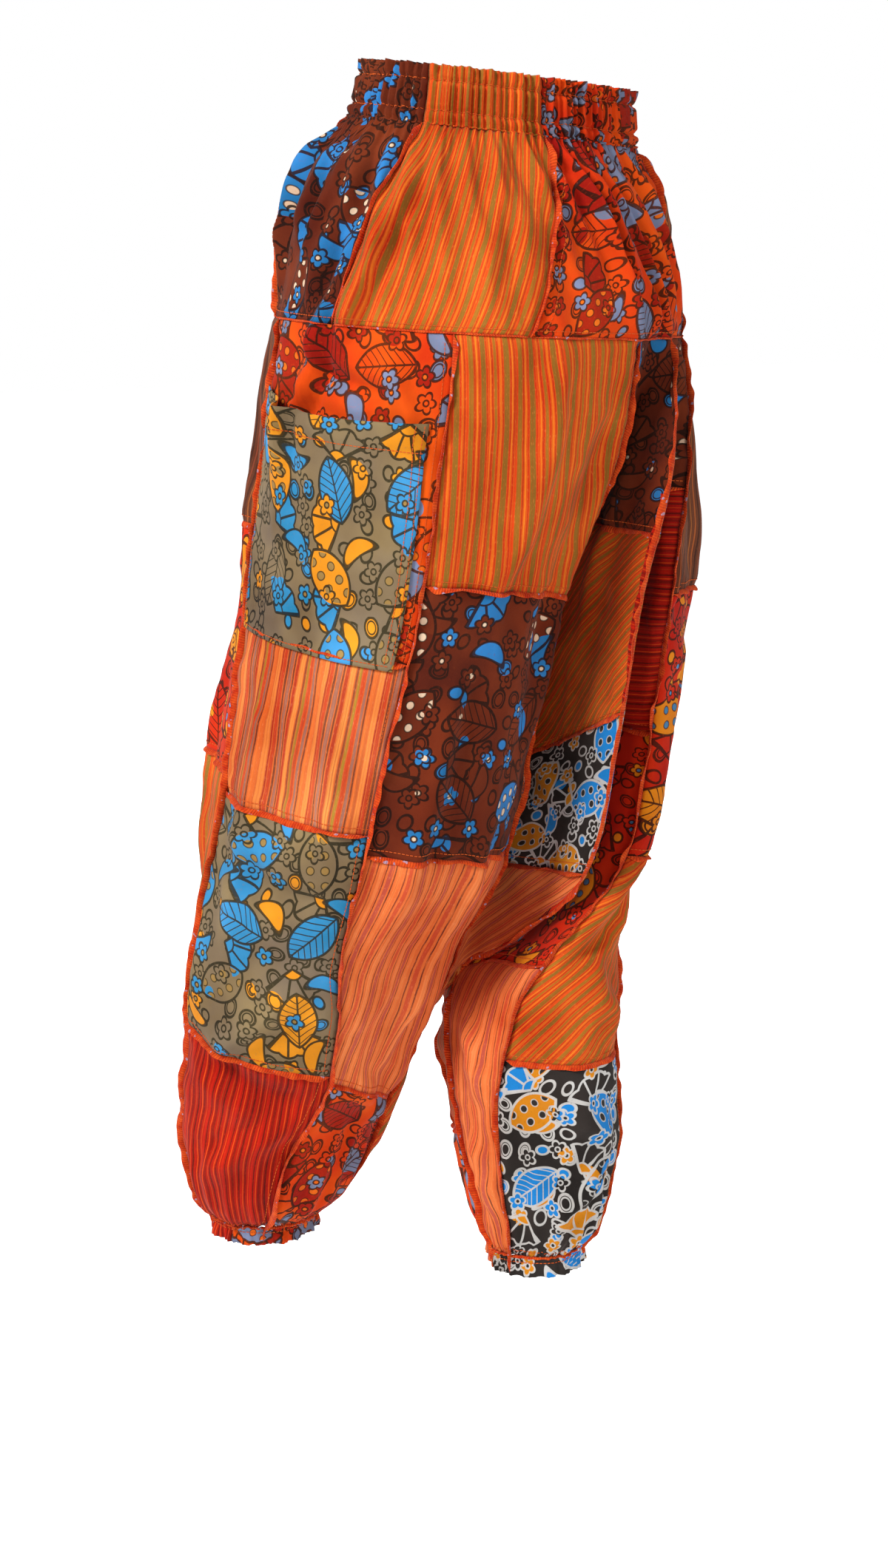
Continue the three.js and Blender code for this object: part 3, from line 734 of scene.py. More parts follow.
def washed(graph, colour, darkest, lightest):
    """The colour as years of washing leave it: paler in slow patches and darker between."""
    slow = graph.clouds(13.0, detail=3.0)
    share = (slow * 2.2 - 0.6).clamped()
    multiply = {"data_type": "RGBA", "blend_type": "MULTIPLY"}
    dark = graph.node("ShaderNodeMix", multiply, {0: 1.0, 6: colour, 7: darkest}, output=2)
    pale_colour, pale_share = lightest
    pale = graph.mix(pale_share, colour, pale_colour)
    return graph.mix(share, dark, pale)


def striped(name, period, ground, bands, wash, yarns):
    """A striped cotton. period is the repeat's width in millimetres, and a band is its middle, half its
    width, its colour and how solid it is: below 1 its threads come and go, as in a worn pinstripe. Under
    the bands, single yarns of another colour show here and there."""
    graph = Graph(name)
    across, along = graph.uv()
    yarn_code, yarn_share = yarns
    darkest, lightest = wash
    sway = (graph.clouds(26.0, 1.0) - 0.5) * 0.0005
    place = ((across + sway) / (period * MM)).fraction() * period
    worn = graph.clouds(1.0, 1.0, graph.join(across * 900.0, along * 55.0))
    yarn = graph.clouds(1.0, 2.0, graph.join(across * 620.0, along * 5.0))
    speck = graph.clouds(1.0, 1.0, graph.join(across * 1500.0, along * 260.0))
    colour = rgb(ground)
    for middle, half, code, solid in bands:
        band = abs(place - middle).below(half, 0.35)
        if solid < 1:
            band = band * (worn * 3.2 - (2.4 - 2.4 * solid)).clamped()
        colour = graph.mix(band, colour, rgb(code))
    pair = (across * (math.pi / 0.00115)).math("SINE")
    colour = graph.mix((pair * 0.5 + worn - 0.35).clamped() * 0.3, colour, rgb(yarn_code))
    colour = graph.mix((speck * 5.0 - 3.0).clamped() * 0.45, colour, rgb(lightest))
    colour = graph.mix((yarn * 6.0 - 3.2).clamped() * yarn_share, colour, rgb(yarn_code))
    colour = washed(graph, colour, rgb(darkest), (rgb(lightest), 0.12))
    fibre = (worn - 0.5) * 0.00008
    return graph.finish(colour, weave(across, along) + fibre)


# each cloth: its repeat, ground, bands, wash (darkest, palest) and loose yarns (colour, share)
STRIPE_TABLE = {
    "orange_stripe": (
        42.0,
        "dd4f0c",
        [
            (1.6, 0.4, "f08420", 0.9), (3.4, 0.6, "c02206", 1.0), (5.8, 1.1, "a06c1c", 0.9),
            (8.2, 0.45, "c41f05", 1.0), (10.2, 0.8, "ea7618", 0.9), (12.2, 0.4, "c01f05", 1.0),
            (15.4, 2.2, "87661f", 0.92), (18.6, 0.45, "c9240a", 1.0), (20.2, 0.4, "f08c20", 0.85),
            (22.2, 0.5, "bf1f05", 1.0), (24.4, 0.6, "e23a08", 1.0), (27.4, 1.9, "9c6d1e", 0.9),
            (30.4, 0.45, "bd1d04", 1.0), (32.4, 0.6, "ee861e", 0.8), (34.6, 0.45, "c12206", 1.0),
            (37.8, 2.0, "846320", 0.92), (40.8, 0.45, "c92408", 1.0),
        ],
        ("d9bfae", "f0a04a"),
        ("9c3206", 0.5),
    ),
    "peach_stripe": (
        30.0,
        "e87434",
        [
            (2.0, 0.5, "5a1410", 0.75), (5.6, 1.5, "cf4a28", 0.9), (9.4, 0.5, "5a1410", 0.7),
            (13.6, 1.6, "f0894a", 0.8), (17.2, 0.5, "6b1a12", 0.75), (21.0, 1.7, "b84a3e", 0.85),
            (24.4, 0.5, "5a1410", 0.7), (27.6, 0.9, "ee8440", 0.9),
        ],
        ("dcb9a8", "f5ab7a"),
        ("c2502c", 0.4),
    ),
    "multi_stripe": (
        46.0,
        "dd6a28",
        [
            (3.0, 2.0, "ec8a3c", 1.0), (6.0, 0.6, "a8240f", 1.0), (8.6, 1.4, "cb3a12", 1.0),
            (12.0, 1.0, "6e3320", 0.9), (15.5, 1.6, "a06a5c", 0.9), (18.6, 0.7, "6e3320", 0.9),
            (21.5, 1.2, "b8280c", 1.0), (25.5, 1.9, "f0933f", 0.9), (29.2, 0.8, "8a3a1e", 0.9),
            (31.6, 1.1, "a8841f", 0.9), (34.9, 1.6, "cf3f12", 1.0), (38.2, 1.1, "99685e", 0.9),
            (41.0, 0.7, "6e2c18", 0.9), (43.8, 1.0, "e8742a", 0.9),
        ],
        ("d9bcae", "efa878"),
        ("8a3c22", 0.45),
    ),
    "red_stripe": (
        26.0,
        "b81405",
        [
            (2.2, 0.45, "ee5a14", 0.9), (4.4, 0.9, "7a0c06", 0.9), (7.6, 0.4, "e04a10", 0.8),
            (10.0, 0.8, "cf1c06", 1.0), (12.6, 0.5, "5e0a08", 0.9), (15.4, 0.45, "ee5a14", 0.85),
            (18.2, 1.2, "8a0f06", 1.0), (21.4, 0.4, "d8501c", 0.85), (24.0, 0.8, "5e0a08", 0.85),
        ],
        ("c9a098", "e0481c"),
        ("5c0905", 0.5),
    ),
    "brown_stripe": (
        20.0,
        "6e3c26",
        [
            (2.0, 0.6, "b5602e", 0.85), (6.0, 1.0, "3f2018", 0.9), (10.4, 0.6, "9c4f36", 0.85),
            (14.6, 1.2, "4c281c", 0.9), (18.0, 0.5, "b86e34", 0.8),
        ],
        ("c4a89a", "9a6448"),
        ("341a12", 0.5),
    ),
}
STRIPES = {name: striped(name, *row) for name, row in STRIPE_TABLE.items()}
print("striped cloths:", list(STRIPES))

# %% [markdown]
# The printed cottons carry a scatter of small motifs in black outline with flat fills, printed over a
# mottled ground. Each layer of the print is a grid of cells with one motif in each, shifted and turned by
# a random amount. The motifs are plain ones: pebbles, beans, ribbed fans, pointed leaves and daisies.


# %% Prints
def scatter(graph, across, along, cell, seed, jitter=0.22):
    """A grid of cells: a point's place from the middle of its own cell's motif, moved and turned at
    random, and three random values of the cell."""
    x = across / cell + seed * 3.37
    y = along / cell + seed * 1.91
    column = x.math("FLOOR")
    row = y.math("FLOOR")
    key = graph.join(column, row, float(seed))
    chance = graph.node("ShaderNodeTexWhiteNoise", {"noise_dimensions": "3D"}, {"Vector": key}, output=1)
    red = graph.node("ShaderNodeSeparateColor", {}, {0: chance}, output=0)
    green = graph.node("ShaderNodeSeparateColor", {}, {0: chance}, output=1)
    blue = graph.node("ShaderNodeSeparateColor", {}, {0: chance}, output=2)
    dx = (x - column - 0.5 - (red - 0.5) * 2 * jitter) * cell
    dy = (y - row - 0.5 - (green - 0.5) * 2 * jitter) * cell
    turn = blue * (2 * math.pi)
    cos, sin = turn.math("COSINE"), turn.math("SINE")
    return dx * cos + dy * sin, dy * cos - dx * sin, red, green, blue


def outline(distance, width):
    """The inked line along a shape's edge, where distance passes zero."""
    return abs(distance).below(width / 2, EDGE)


def inside(distance):
    """1 inside a shape, where the distance to its edge is below zero."""
    return distance.below(0.0, EDGE)


INK_WIDTH = 0.0021


def chosen(graph, value, fills, bare):
    """One of the first two fills, by the cell's random value, and whether the motif is filled at all.
    A share of them, bare, isn't."""
    share = 1 - bare
    tint = graph.mix(value.math("GREATER_THAN", bare + share / 2), fills[0], fills[1])
    return tint, value.math("GREATER_THAN", bare)


def pebbles(graph, paint, across, along, seed, fills):
    """Rounded pebbles, ovals of about 14 by 11 millimetres, some with a smaller line inside."""
    x, y, red, green, blue = scatter(graph, across, along, 0.021, seed, 0.16)
    size = red * 0.45 + 0.75
    wide, high = x / 0.0072, y / 0.0054
    far = (wide * wide + high * high).math("SQRT")
    distance = (far - size) * 0.006
    tint, filled = chosen(graph, green, fills, 0.62)
    here = blue.math("GREATER_THAN", 0.18)
    cover = inside(distance) * here
    paint = graph.mix(cover * filled, paint, tint)
    ring = outline(distance + 0.0024, INK_WIDTH * 0.6) * red.math("GREATER_THAN", 0.55)
    return paint, outline(distance, INK_WIDTH).math("MAXIMUM", ring) * here, cover


def beans(graph, paint, across, along, seed, fills, size=0.017, cell=0.064):
    """Beans of solid colour: ovals bent along a parabola."""
    x, y, red, green, _ = scatter(graph, across, along, cell, seed)
    wide = x / size
    high = (y + wide * wide * size * 0.42 - size * 0.12) / (size * 0.42)
    far = (wide * wide + high * high).math("SQRT")
    distance = (far - 1.0) * size * 0.45
    here = red.math("GREATER_THAN", 0.3)
    tint, filled = chosen(graph, green, fills, 0.1)
    cover = inside(distance) * here
    return graph.mix(cover * filled, paint, tint), outline(distance, INK_WIDTH) * here, cover


def daisies(graph, paint, across, along, seed, fills, size=0.0085, cell=0.033):
    """Daisies: five rounded petals round a ringed eye. The radius follows the cosine of the angle."""
    x, y, red, green, _ = scatter(graph, across, along, cell, seed)
    radius = (x * x + y * y).math("SQRT")
    angle = y.math("ARCTAN2", x)
    petal = abs((angle * 2.5).math("COSINE"))
    distance = radius - (petal * 0.38 + 0.62) * size
    here = red.math("GREATER_THAN", 0.28)
    tint, filled = chosen(graph, green, fills, 0.58)
    cover = inside(distance) * here
    paint = graph.mix(cover * filled, paint, tint)
    eye = radius - size * 0.27
    paint = graph.mix(inside(eye) * here * filled, paint, fills[2])
    lines = outline(distance, INK_WIDTH).math("MAXIMUM", outline(eye, INK_WIDTH * 0.7))
    return paint, lines * here, cover


def fans(graph, paint, across, along, seed, fills, size=0.027, cell=0.066):
    """Ribbed fans: a wide sector whose ribs spread from its foot, with a small plain one inside."""
    x, y, red, green, _ = scatter(graph, across, along, cell, seed, 0.12)
    low = y + size * 0.45
    radius = (x * x + low * low).math("SQRT")
    angle = x.math("ARCTAN2", low)
    scallop = abs((angle * 5.0).math("SINE")) * size * 0.1
    distance = (radius - size - scallop).math("MAXIMUM", (abs(angle) - 1.0) * radius)
    here = red.math("GREATER_THAN", 0.15)
    tint, filled = chosen(graph, green, fills, 0.42)
    cover = inside(distance) * here
    paint = graph.mix(cover * filled, paint, tint)
    hub = radius - size * 0.34
    paint = graph.mix(inside(hub) * here * inside(distance), paint, tint)
    ribs = abs((angle * 5.0).math("COSINE")) * radius
    ribs = ribs.below(INK_WIDTH * 2.6, 0.0012) * (1 - inside(hub)) * inside(distance)
    lines = outline(distance, INK_WIDTH * 1.1).math("MAXIMUM", ribs)
    lines = lines.math("MAXIMUM", outline(hub, INK_WIDTH * 0.8) * inside(distance))
    return paint, lines * here, cover


def leaves(graph, paint, across, along, seed, fills, size=0.026, cell=0.068):
    """Pointed leaves, each the overlap of two rounds, with round spots or with veins from a midrib."""
    x, y, red, green, blue = scatter(graph, across, along, cell, seed, 0.12)
    side = abs(x)
    bulge = side + size * 0.5
    distance = (bulge * bulge + y * y).math("SQRT") - size * 1.15
    here = green.math("GREATER_THAN", 0.14)
    tint, filled = chosen(graph, red, fills, 0.3)
    cover = inside(distance) * here
    paint = graph.mix(cover * filled, paint, tint)
    spotted = blue.math("GREATER_THAN", 0.45)
    step = size * 0.5
    spot_x = ((x / step).fraction() - 0.5) * step
    spot_y = ((y / step).fraction() - 0.5) * step
    spot = (spot_x * spot_x + spot_y * spot_y).math("SQRT") - step * 0.27
    within = inside(distance + 0.002)
    paint = graph.mix(inside(spot) * within * spotted * here, paint, fills[2])
    rings = outline(spot, INK_WIDTH * 0.5) * within * spotted
    pitch = size * 0.26
    vein = abs(((y - side * 0.8) / pitch).fraction() - 0.5) * pitch
    veins = vein.below(INK_WIDTH * 0.28, EDGE).math("MAXIMUM", side.below(INK_WIDTH * 0.4, EDGE))
    veins = veins * inside(distance) * (1 - spotted)
    lines = outline(distance, INK_WIDTH * 1.1).math("MAXIMUM", rings * 0.9).math("MAXIMUM", veins)
    return paint, lines * here, cover


LAYERS = [(pebbles, 1), (daisies, 2), (fans, 3), (beans, 6), (leaves, 4), (daisies, 5)]


def printed(name, grounds, ink, fills, wash):
    """A printed cotton: a mottled ground of two colours, then the layers of motifs, then its wash."""
    graph = Graph(name)
    across, along = graph.uv()
    mottle = (graph.clouds(16.0, 4.0) * 3.0 - 1.0).clamped()
    paint = graph.mix(mottle, rgb(grounds[0]), rgb(grounds[1]))
    colours = [rgb(code) for code in fills]
    lines = None
    for layer, seed in LAYERS:
        paint, more, cover = layer(graph, paint, across, along, seed, colours)
        lines = more if lines is None else (lines * (1 - cover)).math("MAXIMUM", more)
    paint = graph.mix(lines * 0.94, paint, rgb(ink))
    flat = graph.join(across, along)
    rub = graph.clouds(420.0, 2.0, flat)
    paint = graph.mix((rub * 3.0 - 1.75).clamped() * 0.5, paint, rgb(grounds[1]))
    darkest, lightest = wash
    paint = washed(graph, paint, rgb(darkest), (rgb(lightest), 0.1))
    return graph.finish(paint, weave(across, along))


# each cloth: its two ground colours, ink, three fills and wash (darkest, palest)
PRINT_TABLE = {
    "brown_print": (
        ("55180a", "7d3012"), "120605", ("1788d4", "6e2a12", "f4dfc0"), ("c4aaa0", "94502c"),
    ),
    "taupe_print": (
        ("7c6c5e", "8d7856"), "0e0c0a", ("f29a12", "1f96da", "a3824a"), ("c4b8a8", "b8a468"),
    ),
    "red_orange_print": (
        ("dd2f04", "e85a08"), "1e0806", ("6f93bd", "a80e06", "f0761a"), ("d2a898", "f0781e"),
    ),
    "black_print": (
        ("1e1a18", "332c29"), "dcdad6", ("e8920e", "1490e6", "2c2826"), ("b5b0ac", "5c5450"),
    ),
    "red_print": (
        ("c41606", "d8340a"), "1a0805", ("f2a01a", "d22808", "3a9fdc"), ("cfa498", "e85a1c"),
    ),
}
PRINTS = {name: printed(name, *row) for name, row in PRINT_TABLE.items()}
CLOTHS = {**STRIPES, **PRINTS}
print("printed cloths:", list(PRINTS))

# %% [markdown]
# Each patch is a grid laid between two ring numbers and two heights, then moved out by the creases. Its
# edges are drawn in a little, as a tight seam does. The flat coordinates give each point's place on the
# cloth before sewing, so that stripes and prints follow the cloth. A Solidify modifier gives it thickness.

# %% Patches
# in millimetres: the grids' steps, the grooves at seams with the puckers beside them, and the pocket
GRID, FINE_GRID = 3.0, 1.4
NARROW = 60
GROOVE_DEPTH, GROOVE_HALF = 1.3, 5.0
PUCKER_HEIGHT, PUCKER_HALF, PUCKER_SIZE = 1.1, 13.0, 9.0
ROUND_BODY = "left"
# name, ring numbers of the two sides at the top and the foot, and cloth
YOKE = [
    ("front", (-1.5, -1.2), (1.5, 1.2), "peach_stripe"),
    ("left_front", (1.5, 1.2), (2.6, 2.7), "red_orange_print"),
    ("left_side", (2.6, 2.7), (4.66, 3.9), "brown_print"),
    ("left_back", (4.66, 3.9), (6.86, 5.72), "orange_stripe"),
    ("seat", (6.86, 5.72), (12.25, 11), "red_orange_print"),
    ("right_back", (12.25, 11), (15, 14), "brown_stripe"),
    ("right_side", (15, 14), (16.5, 16.8), "taupe_print"),
]
# the column's name, half, ring numbers and foot, then its patches from the top down: name, the height of
# its foot at its two sides, cloth, and how its stripes lean from upright, in degrees
COLUMNS = [
    ("left_fly", "left", 0, 1, [
        ("upper", (-425, -430), "orange_stripe", 3),
        ("middle", (-640, -630), "black_print", 0),
        ("lower", (-940, -940), "multi_stripe", -3),
    ]),
    ("left_front", "left", 1, 3, [
        ("upper", (-350, -355), "brown_stripe", 0),
        ("thigh", (-540, -545), "red_print", 0),
        ("knee", (-775, -770), "orange_stripe", 4),
        ("shin", (-940, -940), "brown_print", 0),
    ]),
    ("left_side", "left", 3, 5, [
        ("hip", (-424, -447), "red_orange_print", 0),
        ("thigh", (-562, -582), "multi_stripe", 2),
        ("knee", (-755, -795), "taupe_print", 0),
        ("shin", (-940, -940), "red_stripe", -2),
    ]),
    ("left_back", "left", 5, 7, [
        ("hip", (-385, -405), "orange_stripe", -3),
        ("thigh", (-597, -622), "brown_print", 0),
        ("knee", (-800, -840), "peach_stripe", 2),
        ("calf", (-940, -940), "red_orange_print", 0),
    ]),
    ("left_inner", "left", 7, 9, [
        ("seat", (-352, -352), "brown_print", 0),
        ("drape", (-640, -495), "orange_stripe", 28),
        ("gusset", (-665, -632), "black_print", 20),
        ("crotch", (-790, -780), "peach_stripe", 38),
        ("shin", (-940, -940), "orange_stripe", 20),
    ]),
    ("right_inner", "right", 9, 11, [
        ("seat", (-320, -320), "brown_print", 0),
        ("drape", (-525, -525), "red_stripe", 84),
        ("gusset", (-730, -705), "red_print", 0),
        ("shin", (-953, -953), "peach_stripe", 3),
    ]),
    ("right_back", "right", 11, 13, [
        ("hip", (-405, -410), "brown_stripe", 0),
        ("thigh", (-625, -625), "red_print", 0),
        ("knee", (-785, -785), "orange_stripe", 32),
        ("calf", (-953, -953), "black_print", 0),
    ]),
    ("right_side", "right", 13, 15, [
        ("hip", (-440, -435), "multi_stripe", 0),
        ("thigh", (-690, -700), "brown_print", 0),
        ("shin", (-953, -953), "red_stripe", 2),
    ]),
    ("right_front", "right", 15, 17, [
        ("hip", (-400, -410), "red_orange_print", 0),
        ("thigh", (-660, -650), "orange_stripe", -3),
        ("shin", (-953, -953), "taupe_print", 0),
    ]),
    ("right_fly", "right", 17, 18, [
        ("upper", (-460, -450), "red_stripe", 0),
        ("middle", (-870, -860), "orange_stripe", 3),
        ("lower", (-953, -953), "red_orange_print", 0),
    ]),
]
CUFFS = [
    ("left_cuff_front", "left", 0, 4, LEFT_CUFF, "red_stripe"),
    ("left_cuff_back", "left", 4, 9, LEFT_CUFF, "red_orange_print"),
    ("right_cuff_back", "right", 9, 14, RIGHT_CUFF, "black_print"),
    ("right_cuff_front", "right", 14, 18, RIGHT_CUFF, "peach_stripe"),
]
POCKET_RINGS = (3.06, 4.86)
POCKET_TOP, POCKET_FOOT = (-244, -262), (-430, -452)
POCKET_DIP, DIP_FADE = 6, 6
POCKET_LIFT = 2.2
MOUTH_GAPE, MOUTH_WIDEST, MOUTH_CURVE = 17, 0.42, 1.5
HEM, HEM_HEIGHT = 0.115, 0.7
# how far the flat width of a hung patch follows each row's own, from 0 to 1, and how far apart in metres
# the patches lie on their cloth
OWN_ROW = 0.75
SHIFT = 0.137


def lerp(a, b, t):
    """a where t is 0, b where it is 1, and between them between."""
    return a + (b - a) * t


def drawn_in(distance, points):
    """How far a seam moves the cloth, by the distance from it: a groove, with puckers beside it, each a
    bell curve of the distance."""
    pucker = PUCKER_HEIGHT * noise(points, PUCKER_SIZE, 61)
    groove = GROOVE_DEPTH * np.exp(-((distance / GROOVE_HALF) ** 2))
    return pucker * np.exp(-((distance / PUCKER_HALF) ** 2)) - groove


def is_casing(name):
    """Whether a piece holds elastic."""
    return name.startswith("casing") or "cuff" in name


def laid_grid(from_rings, to_rings, top, foot, columns, rows):
    """Shares across and down, ring numbers and heights, on a grid between a patch's four corners."""
    u, v = np.meshgrid(np.linspace(0, 1, columns), np.linspace(0, 1, rows))
    ring = lerp(lerp(from_rings[0], from_rings[1], v), lerp(to_rings[0], to_rings[1], v), u)
    z = lerp(lerp(top[0], top[1], u), lerp(foot[0], foot[1], u), v)
    return u, v, ring, z


def run_across(points):
    """Lengths along each row of a grid, from its first column."""
    steps = np.linalg.norm(np.diff(points, axis=1), axis=2)
    return np.concatenate([np.zeros((len(points), 1)), np.cumsum(steps, axis=1)], axis=1)


def grid_mesh(name, points, flat):
    """A mesh from a grid of points in millimetres, and its flat coordinates in metres."""
    rows, columns = points.shape[:2]
    corner = (np.arange(rows - 1)[:, None] * columns + np.arange(columns - 1)).ravel()
    faces = np.stack([corner, corner + columns, corner + columns + 1, corner + 1], axis=1)
    mesh = bpy.data.meshes.new(name)
    mesh.vertices.add(rows * columns)
    mesh.vertices.foreach_set("co", (points.reshape(-1, 3) * MM).ravel())
    mesh.loops.add(faces.size)
    mesh.loops.foreach_set("vertex_index", faces.ravel())
    mesh.polygons.add(len(faces))
    mesh.polygons.foreach_set("loop_start", np.arange(len(faces)) * 4)
    mesh.update(calc_edges=True)
    mesh.polygons.foreach_set("use_smooth", np.ones(len(faces), bool))
    layer = mesh.uv_layers.new(name="flat")
    layer.data.foreach_set("uv", flat.reshape(-1, 2)[faces.ravel()].ravel())
    made = bpy.data.objects.new(name, mesh)
    bpy.context.scene.collection.objects.link(made)
    return made


SHEETS = []
LAID = {}


def flat_places(base, points, v, gathered, lean, shift):
    """Each grid point's place on the flat cloth, in metres, with the cloth's width and length in
    millimetres. Across, it goes by the share of the smooth row, so that stripes run true through the
    creases; then the whole is turned by the lean."""
    smooth = run_across(base)
    laid = run_across(points)[:, -1]
    length = run_across(points.transpose(1, 0, 2))[:, -1].max()
    widest = laid.max()
    own_width = widest * smooth[:, -1:] / smooth[:, -1].max()
    x = (smooth / smooth[:, -1:] - 0.5) * (widest if gathered else lerp(widest, own_width, OWN_ROW))
    y = -v * length
    cos, sin = math.cos(math.radians(lean)), math.sin(math.radians(lean))
    flat = np.stack([x * cos - y * sin, x * sin + y * cos], axis=-1)
    quads = np.cross(points[1:, 1:] - points[:-1, :-1], points[1:, :-1] - points[:-1, 1:])
    area = np.linalg.norm(quads, axis=-1).sum() / 2
    return flat * MM + shift, widest, area / laid.mean(), area


def sew(name, half, from_rings, to_rings, top, foot, cloth, lean=0, gathered=False, lift=None, dip=0):
    """Makes one patch and lists it as a sheet with the size that it was cut to. Its points are those of
    the smooth form, each moved out by the relief there."""
    middle_z = lerp(sum(top) / 2, sum(foot) / 2, 0.5)
    probe = on_body(half, np.linspace(from_rings[0], to_rings[0], 40), middle_z)
    wide = np.linalg.norm(np.diff(probe, axis=0), axis=1).sum()
    tall = abs(sum(top) - sum(foot)) / 2
    columns = max(6, int(wide / (FINE_GRID if gathered else GRID)))
    rows = max(10, int(tall / (FINE_GRID if tall < NARROW else GRID)))
    u, v, ring, z = laid_grid(from_rings, to_rings, top, foot, columns, rows)
    z = z - dip * 4 * u * (1 - u) * (1 - v) ** DIP_FADE
    base = on_body(half, ring, z)
    rise = relief(half, ring, z, base)
    across = run_across(base)
    down = run_across(base.transpose(1, 0, 2)).T
    if lift is None:
        rise = rise + drawn_in(np.minimum(across, across[:, -1:] - across), base)
        if not is_casing(name):
            rise = rise + drawn_in(np.minimum(down, down[-1:] - down), base)
    else:
        rise = rise + lift(u, v)
    points = base + outward(half, ring, z) * rise[..., None]
    LAID[name] = points
    flat, *cut = flat_places(base, points, v, gathered, lean, SHIFT * len(SHEETS))
    piece = grid_mesh(f"cloth_{name}", points, flat)
    shell = piece.modifiers.new("thickness", "SOLIDIFY")
    shell.thickness = CLOTH * MM
    shell.offset = -1
    piece.data.materials.append(CLOTHS[cloth])
    SHEETS.append((piece, name, cloth, *cut))


for name, from_rings, to_rings, cloth in YOKE:
    band = (from_rings[0],) * 2, (to_rings[0],) * 2
    sew(f"casing_{name}", ROUND_BODY, *band, (0, 0), (WAIST_FOOT,) * 2, cloth, gathered=True)
    yoke = (WAIST_FOOT,) * 2, (YOKE_FOOT,) * 2
    sew(f"yoke_{name}", ROUND_BODY, from_rings, to_rings, *yoke, cloth, gathered=True)
for column, half, start, end, patches in COLUMNS:
    top = (YOKE_FOOT, YOKE_FOOT)
    for name, foot, cloth, lean in patches:
        sew(f"{column}_{name}", half, (start, start), (end, end), top, foot, cloth, lean)
        top = foot
for name, half, start, end, (top, foot), cloth in CUFFS:
    sew(name, half, (start, start), (end, end), (top, top), (foot, foot), cloth, gathered=True)


def pocket_lift(u, v):
    """How far the pocket stands off the hip, at shares u across and v down: its own thickness, a gape at
    its mouth that is a parabola of u, the hem's step and groove, a slanting crease and a slack wave."""
    side = np.where(u < MOUTH_WIDEST, u / MOUTH_WIDEST, (1 - u) / (1 - MOUTH_WIDEST))
    gape = MOUTH_GAPE * side * (2 - side) * (1 - v) ** MOUTH_CURVE
    hem = HEM_HEIGHT * (smoothstep(HEM - v, -0.01, 0.02) - np.exp(-(((v - HEM) / 0.012) ** 2)))
    crease = 5.0 * np.exp(-(((u - 0.3 - 0.25 * v) / 0.06) ** 2)) * smoothstep(v, 0.05, 0.2) * (1 - v) ** 1.5
    sag = 2.2 * np.sin(v * np.pi * 3.2 + u * 2.0) * u * (1 - u) * 4 * smoothstep(v, 0.1, 0.4) * (1 - v)
    return POCKET_LIFT + gape + hem - crease + sag


sew(
    "pocket",
    "left",
    (POCKET_RINGS[0],) * 2,
    (POCKET_RINGS[1],) * 2,
    POCKET_TOP,
    POCKET_FOOT,
    "taupe_print",
    lean=-7,
    lift=pocket_lift,
    dip=POCKET_DIP,
)
cloth_area = sum(row[-1] for row in SHEETS) * MM**2
print("patches:", len(SHEETS), "area of cloth, in square metres:", round(cloth_area, 2))

# %% [markdown]
# The pieces are joined wrong side out on purpose: the serged edge of each seam stands up on the face. It is
# a lip of cloth wrapped in orange-red thread, that leans over now to one side and now to the other.

# %% Serged seams
# in millimetres: the lips' heights, by the seam they stand on, and their thickness and step
LIP_HEIGHT, CROSS_LIP, HIP_LIP, CUFF_LIP = 5.2, 4.6, 1.3, 2.6
LIP_THICK = 1.8
SEAM_STEP = 2.2
LIP_END = 8
# the points round a lip, how far a cross seam's lip leans over in radians, and the thread's loops in metres
LIP_POINTS = 8
CROSS_DROOP = 0.8
LOOP_STEP = 0.0021

thread = Graph("seam_thread")
thread_u, thread_v = thread.uv()
loops = (thread_v * (2 * math.pi / LOOP_STEP) + (thread_u * 900.0)).math("SINE")
thread_share = (thread.clouds(180.0) * 2.4 - 0.7).clamped()
thread_paint = thread.mix(thread_share, rgb("b82a0a"), rgb("e0561c"))
thread_paint = thread.mix((loops * 0.5 + 0.2).clamped() * 0.45, thread_paint, rgb("7a1606"))
flecks = thread.clouds(260.0, 0.0).below(0.22, 0.03)
thread_paint = thread.mix(flecks * 0.6, thread_paint, rgb("9aa6c4"))
THREAD = thread.finish(thread_paint, loops * 0.0003, strength=0.8)


def seam_points(half, ring, z):
    """Points of the finished cloth along a seam, with the way out of it."""
    base = on_body(half, ring, z)
    out = outward(half, ring, z)
    rise = relief(half, ring, z, base) + drawn_in(np.zeros(len(z)), base)
    return base + out * rise[:, None], out


